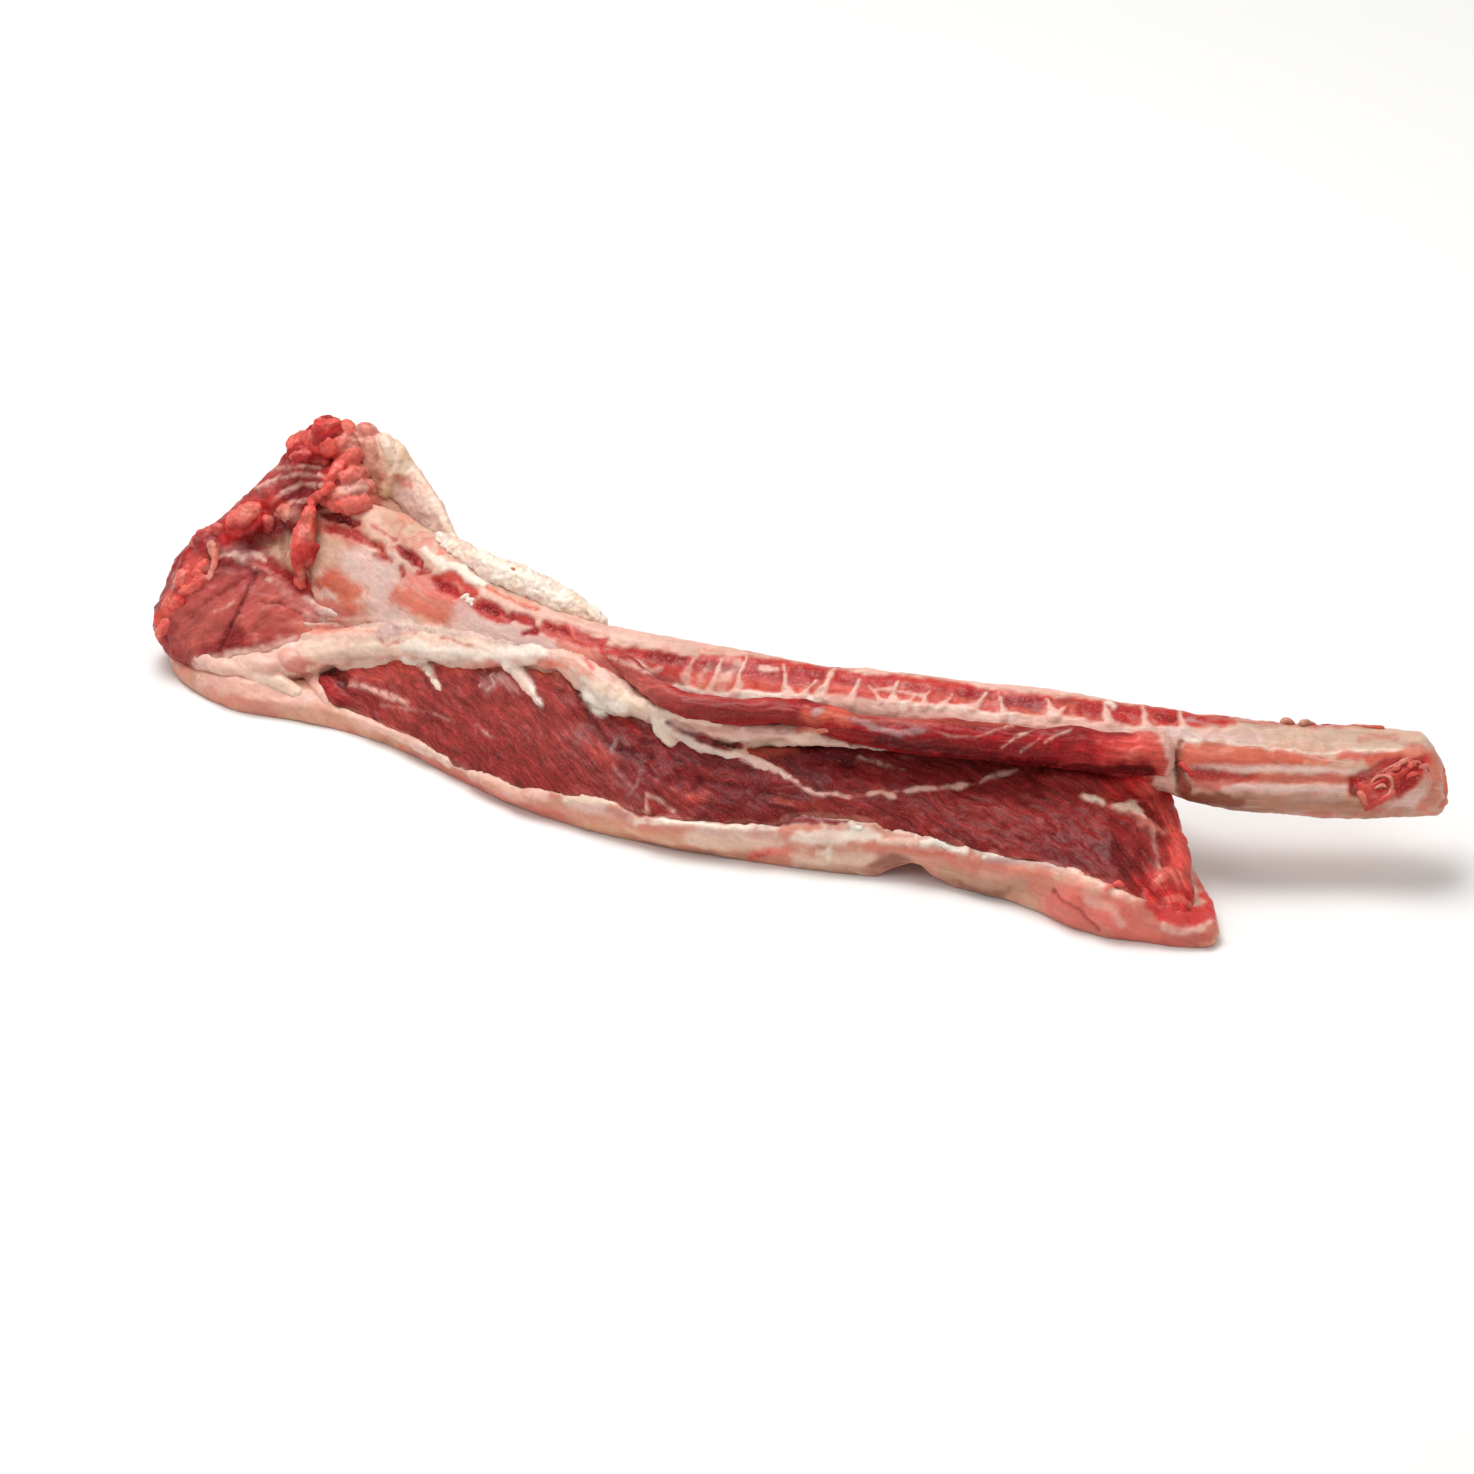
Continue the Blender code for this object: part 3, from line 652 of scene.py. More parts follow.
# front lean: the long cut face
frontLook = {
    "base": "lean", "swell": 0.6, "voxel": 0.84, "rounds": 5,
    "fused": (
        (("leanDark", "blood"), (1040, 776, 3.0, -0.8), (1076, 780, 4.2, -1.0), (1108, 786, 4.6, -0.8),
            (1136, 790, 4.6, -0.6), (1154, 800, 4.2, -0.8)),
        (("bright", "coral"), (1146, 790, 3.0, -1.0), (1162, 806, 3.4, -1.4), (1174, 830, 3.4, -1.4),
            (1180, 856, 3.2, -1.2), (1180, 878, 3.0, -1.2)),
        (("coral", "flesh"), (1160, 886, 1.8, -0.6), (1164, 876, 2.2, -0.8), (1172, 874, 2.0, -0.8),
            (1178, 882, 1.8, -0.6)),
        (("blood", "bright"), (1092, 777, 2.6), (1118, 780, 3.2, 0.4), (1140, 783, 3.6, 0.2),
            (1156, 791, 3.4, -0.4), (1168, 806, 3.0, -0.8)),
        (("leanMid", "lean"), (760, 748, 2.4, -0.8), (800, 752, 3.0, -1.0), (850, 756, 3.0, -1.2),
            (900, 760, 2.6, -1.0)),
        (("leanPale", "lean"), (880, 826, 2.4, -1.2), (905, 832, 2.8, -1.2), (926, 838, 2.2, -1.0)),
        (("lean", "leanMid"), (964, 828, 2.6, -1.4), (976, 838, 3.0, -1.4), (990, 846, 2.4, -1.2)),
    ),
    "slope": ((-220, 38), (-120, 42), (-80, 46), (-45, 48), (-10, 36), (40, 28), (85, 34), (110, 48),
        (125, 66), (140, 72)),
    "fibre": (11.0, 0.75), "fibreHeight": 0.6, "crumb": 0.07, "swirl": (-12, 32, 1.3),
    "lumps": ((11, 0.9, 1), (4.5, 0.35, 2)),
    "blotches": (
        ("leanDark", 16, 0.15, 0.25, 0.45, 3),
        ("leanPale", 13, 0.3, 0.2, 0.4, 4),
    ),
    "meets": (
        (("cover_fat",), "pinkFat", 1.6, 0.55, 0.0),
        (("fat_seam",), "palePink", 2.2, 0.7, 0.15),
    ),
    "strokes": (
        ("leanPale", 42, 50, 0, ((380, 690), (450, 715), (520, 700), (590, 760)), 0.6),
        ("lean", 30, 40, 0, ((440, 740), (520, 770), (600, 790)), 0.6),
        ("leanDark", 30, 45, 0, ((620, 740), (680, 770), (760, 800), (830, 780)), 0.75),
        # painted shadow: the top of the lean darkened where the strip above overhangs it
        ("leanDark", 16, 30, -0.3, ((770, 745), (830, 755), (900, 765), (1000, 780)), 0.7),
        ("leanMid", 30, 40, 0, ((900, 820), (980, 820), (1060, 830), (1120, 850)), 0.7),
        ("lean", 14, 26, 0, ((850, 805), (900, 815), (960, 800), (1010, 790), (1060, 800)), 0.6),
        ("leanDark", 14, 26, 0, ((1060, 850), (1120, 860), (1145, 890)), 0.6),
        ("bright", 15, 16, 0.3, ((1120, 784), (1150, 780), (1170, 800), (1183, 840), (1186, 870),
            (1180, 890), (1190, 915)), 0.85),
        ("bright", 18, 22, 0.2, ((1150, 890), (1175, 905), (1195, 925)), 0.8),
        # painted highlight: a lighter coral stripe along the bright red cut rim, whose red is the meat's own
        ("coral", 10, 12, 0.2, ((1150, 792), (1172, 815), (1182, 845), (1182, 880)), 0.8),
        ("flesh", 4, 7, 0.2, ((1158, 884), (1166, 874), (1178, 880)), 0.8),
        ("flesh", 3, 6, 0.2, ((1166, 900), (1180, 896), (1190, 905)), 0.7),
        # left end: pocket, streaks and fingers of the seam
        ("palePink", 10, 8, 0.2, ((306, 684), (312, 694))),
        ("blood", 11, 12, 0.2, ((328, 688), (340, 698), (350, 684)), 0.6),
        # dark red pocket, darkened further as painted shade, also sunk
        ("dark", 5, 7, -0.9, ((326, 670), (340, 669), (343, 682)), 0.85),
        ("deep", 5, 9, -0.4, ((345, 690), (362, 696), (375, 706)), 0.8),
        ("palePink", 2.5, 5, 0.4, ((350, 684), (366, 687), (384, 694), (404, 702)), 0.8),
        ("coral", 13, 14, 0.2, ((356, 668), (385, 668), (412, 664)), 0.55),
        ("white", 3, 5, 0.4, ((412, 654, 5), (424, 664, 4), (432, 674, 3), (440, 686, 1)), 0.9),
        ("coral", 8, 12, 0, ((440, 670), (470, 664), (505, 660)), 0.6),
        ("silver", 5, 7, 0.1, ((484, 676), (488, 688), (497, 680)), 0.35),
        ("palePink", 0.9, 3.5, 0.2, ((480, 686), (488, 690), (495, 684), (490, 676), (498, 672)), 0.8),
        ("lavender", 4, 7, 0.2, ((500, 676, 3), (510, 686, 4), (518, 694, 2)), 0.35),
        ("white", 3.5, 5, 0.5, ((515, 658, 9), (520, 672, 6), (530, 688, 4.5), (541, 706, 1.5))),
        ("orange", 12, 14, 0.3, ((540, 668), (556, 666), (575, 676)), 0.75),
        # painted shade: a dark crease under the end of the seam fat, also sunk
        ("dark", 4, 9, -0.7, ((578, 684), (586, 710), (600, 730), (612, 745)), 0.85),
        ("palePink", 1.2, 4, 0.2, ((476, 725), (492, 738)), 0.6),
        ("palePink", 1.0, 4, 0.1, ((380, 705), (430, 712), (455, 722)), 0.35),
        ("silver", 3, 8, 0.2, ((578, 742), (580, 730), (590, 740)), 0.25),
        # painted highlight: a pale grey-lavender highlight on the folds
        ("lavender", 2, 6, 0.2, ((612, 750), (618, 738), (626, 745)), 0.4),
        # painted shade: dark lines in the folds and creases of the lean, which are also sunk
        ("dark", 5, 9, -0.9, ((622, 750), (636, 753), (648, 756)), 0.85),
        ("bright", 12, 16, 0.1, ((612, 728), (640, 732), (660, 745)), 0.2),
        ("silver", 2, 6, 0.2, ((614, 766), (628, 786), (640, 800)), 0.5),
        ("leanPale", 5, 12, 0.3, ((600, 770), (618, 788), (636, 808)), 0.5),
        ("coral", 6, 12, 0.1, ((590, 745), (600, 752), (612, 762)), 0.4),
        # painted shade in the creases, also sunk
        ("dark", 2.4, 5, -0.6, ((594, 700), (604, 722), (618, 738), (624, 752)), 0.8),
        ("dark", 1.8, 5, -0.5, ((628, 736), (650, 744), (672, 744)), 0.7),
        ("deep", 1.8, 5, -0.4, ((640, 760), (652, 775), (668, 784), (684, 792)), 0.75),
        ("deep", 1.6, 4, -0.4, ((668, 770), (690, 776), (712, 790), (730, 796)), 0.7),
        ("silver", 1.4, 5, 0.2, ((640, 772), (636, 786), (628, 796)), 0.5),
        ("purple", 2, 6, 0, ((676, 780), (686, 792)), 0.5),
        ("leanPale", 3, 8, 0.3, ((655, 782), (672, 790), (690, 800)), 0.7),
        ("leanPale", 3, 8, 0.3, ((700, 768), (730, 778), (752, 790)), 0.5),
        # painted shade in a crease, also sunk
        ("dark", 2.5, 6, -0.5, ((700, 780), (740, 786), (790, 800)), 0.6),
        ("rust", 4, 8, 0, ((780, 800), (820, 806)), 0.4),
        # hollows and strands of fat and membrane in the middle
        ("palePink", 14, 14, 0.5, ((580, 662, 8), (598, 676, 14), (616, 692, 12)), 0.9),
        ("white", 8, 6, 0.8, ((590, 694, 9), (602, 704, 12), (618, 702, 8))),
        ("cream", 4, 6, 0.6, ((616, 694, 9), (640, 706, 7), (665, 712, 5), (690, 718, 5), (735, 728, 6))),
        ("orange", 4, 8, 0, ((622, 716), (650, 716)), 0.6),
        ("purple", 5, 6, -0.9, ((668, 722, 3), (688, 733, 7), (702, 740, 5)), 0.9),
        ("umber", 4, 6, -0.9, ((706, 741, 2), (722, 744, 5), (738, 749, 4)), 0.85),
        ("pinkFat", 8, 9, 0.5, ((700, 728, 8), (735, 732, 9), (770, 733, 7), (800, 728, 5)), 0.9),
        ("cream", 4, 7, 0.4, ((690, 722, 4), (730, 724, 5), (770, 728, 4), (800, 727, 3)), 0.9),
        ("orange", 5, 8, 0.3, ((800, 728), (820, 726), (842, 724)), 0.9),
        ("palePink", 2, 5, 0.2, ((742, 742, 3), (770, 738, 3), (800, 734, 3), (830, 736, 4),
            (848, 742, 5)), 0.8),
        # painted shadow: dark bands under the overhanging strip and seam sheet, also sunk
        ("dark", 3, 6, -0.8, ((735, 752), (744, 746), (780, 742), (840, 741), (880, 742)), 0.7),
        ("dark", 7, 10, -0.6, ((792, 750), (815, 749), (836, 756), (850, 759)), 0.8),
        ("lean", 12, 14, 0, ((880, 768), (950, 766), (1020, 778), (1100, 790)), 0.6),
        ("rust", 6, 9, 0, ((748, 753), (770, 751), (792, 748)), 0.7),
        # the main seam across the lean
        ("palePink", 3, 3.5, 0.45, ((740, 757, 1.5), (764, 767, 4), (785, 773, 2), (800, 785, 1.6),
            (815, 794, 1.4), (850, 796, 1.4))),
        ("blush", 1.4, 3.5, 0.1, ((850, 796), (880, 793), (910, 790), (945, 787), (985, 780)), 0.8),
        ("palePink", 3, 3.5, 0.35, ((870, 795, 1.4), (882, 792, 3.0), (893, 797, 2.4)), 0.9),
        ("palePink", 3, 3.5, 0.35, ((906, 791, 2.6), (920, 788, 2.6), (934, 788, 1.6)), 0.9),
        ("palePink", 3, 3.5, 0.3, ((944, 786, 1.2), (958, 784, 3.2), (968, 783, 1.8)), 0.9),
        ("palePink", 3, 3.5, 0.3, ((980, 781, 1.4), (992, 776, 2.4), (1004, 773, 2.2),
            (1017, 770, 1.4)), 0.9),
        ("palePink", 1.2, 4, 0.2, ((860, 755), (868, 760), (880, 764)), 0.8),
        ("palePink", 1.0, 4, 0.2, ((885, 765), (905, 770)), 0.6),
        ("palePink", 2.0, 4, 0.3, ((648, 795), (660, 800), (674, 812)), 0.7),
        ("palePink", 1.6, 4, 0.3, ((646, 800), (648, 812)), 0.7),
        ("coral", 5, 9, 0.2, ((690, 798), (704, 796)), 0.5),
        ("palePink", 3, 5, 0.4, ((1082, 796, 3), (1102, 803, 2.5))),
        ("rust", 3, 6, 0.1, ((1098, 796), (1106, 798)), 0.7),
        ("blush", 4, 6, 0.4, ((1112, 806, 3), (1130, 806, 6), (1145, 822, 5), (1165, 834, 2.5)), 0.9),
        ("cream", 2.2, 3.5, 0.3, ((1084, 797), (1102, 804)), 0.9),
        ("cream", 3, 3.5, 0.3, ((1116, 806, 2.4), (1132, 806, 4.4), (1144, 818, 3)), 0.9),
        ("palePink", 1.5, 6, 0.2, ((1150, 830), (1158, 856), (1160, 880)), 0.5),
        ("dark", 2, 8, -0.4, ((1140, 850), (1144, 880), (1140, 900)), 0.6),
    ),
}


def makeFrontLean():
    makePiece("front_muscle", "frontLean", frontLook, tissue("wetLean", leanFinish))


# loin lean: the thick end
loinLook = {
    "base": "lean", "swell": 0.5, "voxel": 0.74, "rounds": 4,
    "fused": (
        (("lavender", "palePink"), (219, 551, 1.4), (226, 550, 1.9), (238, 551, 1.8), (250, 556, 1.5),
            (262, 562, 1.2)),
        (("palePink", "lavender"), (238, 560, 1.0), (256, 567, 1.2), (270, 576, 1.2), (285, 587, 1.2),
            (300, 598, 1.3), (314, 607, 1.3, -0.2), (330, 612, 0.9, -0.4), (350, 617, 0.3, -0.6)),
        (("silver", "lavender"), (283, 589, 0.9), (291, 600, 1.0), (300, 611, 1.1, -0.2),
            (312, 618, 1.0, -0.4), (332, 622, 0.4, -0.6)),
        (("rose", "dusky"), (196, 640, 2.4, -1), (214, 622, 2.8, -1), (234, 604, 2.6, -1),
            (250, 588, 1.8, -0.8)),
        (("rose", "dusky"), (240, 636, 2.6, -1.4), (258, 616, 3.0, -1.4), (276, 606, 2.4, -1.2)),
    ),
    "slope": ((-220, -20), (-150, -20), (-60, 30)),
    "fibre": (7.0, 1.0), "fibreHeight": 0.22, "crumb": 0.12,
    "lumps": ((9, 0.8, 11), (3.5, 0.3, 12)),
    "blotches": (
        ("blood", 9, 0.1, 0.3, 0.5, 13),
        ("pinkFat", 10, 0.4, 0.3, 0.22, 14),
        ("leanDark", 12, 0.25, 0.2, 0.4, 15),
    ),
    "meets": (
        (("rib_bone",), "palePink", 1.6, 0.3, 0.0),
        (("fat_seam",), "cream", 3.0, 0.8, 0.3),
    ),
    "strokes": (
        # outer skin, with pale folds across it
        ("dusky", 26, 24, 0, ((240, 505), (262, 480), (285, 458)), 0.85),
        ("blood", 10, 12, 0, ((300, 462), (318, 470), (316, 486)), 0.8),
        ("deep", 8, 10, -0.5, ((286, 496), (305, 490), (318, 492)), 0.8),
        ("deep", 8, 10, -0.6, ((286, 512), (300, 510), (312, 508)), 0.85),
        ("palePink", 2, 4, 0.5, ((258, 488), (280, 478), (300, 474), (322, 476)), 0.8),
        ("palePink", 2.2, 4, 0.5, ((272, 504), (284, 492), (302, 484), (322, 486)), 0.85),
        ("palePink", 1.6, 4, 0.4, ((268, 470), (300, 466), (322, 468)), 0.6),
        ("palePink", 1.6, 4, 0.4, ((276, 516), (292, 502), (312, 498)), 0.7),
        ("pinkFat", 7, 8, 0.5, ((274, 506), (288, 512), (296, 520)), 0.7),
        # hollow under the big lump, sunk and painted dark as its shade, running out into the tan face of the
        # bone
        ("deep", 9, 9, -0.8, ((222, 545), (248, 543), (270, 532), (292, 526)), 0.85),
        ("brown", 10, 12, -0.6, ((268, 545), (282, 545)), 0.7),
        ("tan", 11, 12, 0.0, ((276, 548, 8), (290, 552, 14), (298, 562, 12)), 0.95),
        ("sand", 6, 9, 0.2, ((290, 540), (296, 560)), 0.6),
        ("blood", 7, 9, -0.3, ((250, 562, 5), (275, 572, 7), (300, 590, 8)), 0.85),
        ("deep", 6, 8, -0.5, ((220, 562, 6), (240, 568, 6), (262, 576, 4)), 0.85),
        # smooth lobe below the fascia
        ("rose", 30, 26, 0, ((200, 625), (230, 610), (270, 615), (290, 625)), 0.85),
        ("dusky", 14, 18, 0, ((200, 590), (230, 585), (255, 590)), 0.7),
        ("rose", 12, 14, 0, ((262, 590), (280, 600)), 0.7),
        ("deep", 9, 12, -0.3, ((208, 650), (225, 645), (238, 634)), 0.85),
        ("leanPale", 14, 16, 0.1, ((262, 640), (290, 636)), 0.7),
        ("dark", 1.4, 4, -0.8, ((255, 572), (248, 592), (238, 612), (226, 634), (218, 652)), 0.85),
        ("deep", 1.2, 4, -0.6, ((262, 603), (280, 604), (300, 614)), 0.8),
        ("deep", 1.2, 4, -0.6, ((205, 604), (225, 590), (245, 578)), 0.7),
        ("palePink", 1.0, 4, 0.1, ((215, 612), (235, 602)), 0.5),
        ("palePink", 14, 14, 0.5, ((205, 672), (250, 664), (300, 650)), 0.9),
        ("salmon", 10, 10, 0.2, ((304, 630), (312, 640)), 0.7),
        # crown
        ("bright", 12, 12, 0.3, ((322, 426), (336, 424)), 0.9),
        ("blood", 9, 10, 0.3, ((290, 456), (312, 446), (336, 440)), 0.85),
        ("pinkFat", 12, 12, 0.2, ((350, 445), (368, 452), (378, 470)), 0.9),
        ("salmon", 10, 12, 0.2, ((340, 500), (362, 496), (378, 500)), 0.9),
        ("sand", 10, 12, 0.0, ((392, 506), (404, 520)), 0.9),
        ("bright", 12, 14, 0.5, ((226, 532), (250, 516), (272, 508)), 0.85),
        ("coral", 7, 9, 0.4, ((196, 560), (186, 585), (172, 602), (160, 618), (156, 640)), 0.7),
    ),
}


def makeLoinLean():
    finish = dict(leanFinish, streak=0.2, fleck=0.2, grit=0.4, coat=0.2)
    makePiece("loin_muscle", "loinLean", loinLook, tissue("paleLean", finish))


# strip of lean between the ribs
stripLook = {
    "base": "blood", "swell": 0.6, "voxel": 0.55, "rounds": 8,
    "slope": ((-60, 14), (20, 6), (130, 8)),
    "fibre": (14.0, 0.8), "fibreHeight": 0.35, "crumb": 0.08,
    "lumps": ((12, 0.5, 41), (4, 0.2, 42)),
    "blotches": (("deep", 12, 0.1, 0.25, 0.6, 43), ("lean", 9, 0.3, 0.2, 0.4, 44)),
    "meets": ((("rib_bone",), "palePink", 1.2, 0.4, 0.0),),
    "strokes": (
        ("rose", 13, 14, 0, ((602, 660), (630, 674), (656, 690)), 0.8),
        ("palePink", 2, 5, 0.2, ((604, 656), (618, 660), (640, 668), (660, 677)), 0.7),
        ("flesh", 3, 6, 0, ((640, 684), (680, 696), (720, 700)), 0.4),
        ("leanPale", 9, 12, 0, ((660, 696), (700, 706), (780, 708)), 0.6),
        ("lean", 8, 10, 0, ((700, 712), (760, 714), (820, 716)), 0.6),
        ("orange", 7, 9, 0.2, ((810, 716), (835, 714), (850, 718)), 0.8),
        ("silver", 3, 5, 0.3, ((815, 712), (822, 711)), 0.8),
        ("rust", 3, 6, 0.1, ((850, 717), (900, 719), (960, 722), (1010, 726)), 0.7),
        # painted shade: the lower part of the strip, which overhangs the lean, darker
        ("deep", 10, 14, -0.2, ((860, 735), (950, 748), (1050, 758)), 0.7),
        ("rose", 2.5, 5, 0.3, ((845, 720), (900, 721), (940, 726)), 0.6),
        ("silver", 2.5, 5, 0.25, ((856, 720, 2), (872, 727, 3), (900, 733, 3), (930, 730, 2)), 0.7),
        ("palePink", 1.0, 3.5, 0.35, ((928, 728), (950, 736), (975, 738), (1000, 729), (1012, 726)), 0.45),
        ("palePink", 1.0, 3.5, 0.35, ((1002, 748), (1015, 738), (1034, 729)), 0.85),
        ("palePink", 1.0, 3.5, 0.35, ((1045, 742), (1058, 735), (1072, 731)), 0.7),
        ("palePink", 0.8, 3.5, 0.2, ((1020, 752), (1032, 744), (1040, 738)), 0.5),
        ("bright", 12, 16, 0.2, ((1105, 752), (1140, 748), (1168, 744)), 0.85),
        ("coral", 6, 8, 0.2, ((1140, 738), (1160, 738), (1172, 746)), 0.7),
        ("salmon", 4, 5, 0.6, ((1126, 757), (1138, 752), (1150, 752)), 0.85),
        ("coral", 12, 14, 0.2, ((1120, 752), (1150, 748), (1166, 752)), 0.6),
        ("coral", 10, 8, 0.4, ((1146, 742), (1158, 750), (1162, 766)), 0.9),
        ("flesh", 4, 5, 0.3, ((1140, 738), (1156, 738), (1164, 746)), 0.8),
        ("palePink", 6, 5, 0.3, ((1163, 736), (1170, 748), (1172, 770)), 0.95),
        # painted shadow: a dark line along the strip's overhanging lower edge
        ("dark", 5, 8, -0.3, ((880, 742), (980, 757), (1060, 768), (1150, 772)), 0.85),
        # painted highlight: a pale wavy line on the strip's lower lip
        ("coral", 1.2, 4, 0.2, ((1060, 766), (1085, 762), (1110, 764), (1140, 764)), 0.5),
    ),
}


def makeBetweenStrip():
    finish = dict(leanFinish, streak=0.3, fleck=0.25, coat=0.2)
    makePiece("rib_strip", "betweenStrip", stripLook, tissue("deepLean", finish))


# rib bone
# walls of pale tissue between the red patches along the top: upper end, lower end, half width in pixels
septa = (
    (722, 660, 708, 694, 3.2), (747, 656, 735, 694, 3.2), (783, 664, 790, 699, 4.0),
        (835, 668, 820, 694, 3.8), (816, 680, 802, 698, 2.2),
    (860, 676, 852, 702, 3.4), (868, 684, 880, 702, 2.4), (898, 682, 892, 708, 4.4),
        (916, 694, 910, 708, 2.2),
    (928, 690, 924, 706, 3.2), (952, 694, 942, 708, 2.0), (987, 692, 972, 708, 3.0),
        (1000, 691, 1003, 718, 2.6),
    (1046, 700, 1054, 718, 3.8), (1066, 706, 1058, 718, 2.4), (1104, 699, 1110, 720, 3.2),
        (1142, 706, 1149, 728, 3.0),
    (1180, 709, 1186, 728, 2.6),
)
redPatches = (  # along the top: left, right, upper and lower edge at its middle
    (606, 644, 645, 657), (640, 692, 648, 668), (688, 742, 655, 690), (742, 757, 657, 690),
        (757, 783, 655, 690),
    (788, 828, 661, 692), (832, 862, 669, 692), (864, 896, 672, 695), (902, 929, 680, 701),
        (931, 952, 682, 701),
    (952, 998, 685, 704), (1002, 1046, 689, 713), (1048, 1078, 695, 707), (1074, 1106, 698, 720),
    (1109, 1145, 702, 725), (1147, 1183, 706, 727), (1182, 1230, 711, 729),
)
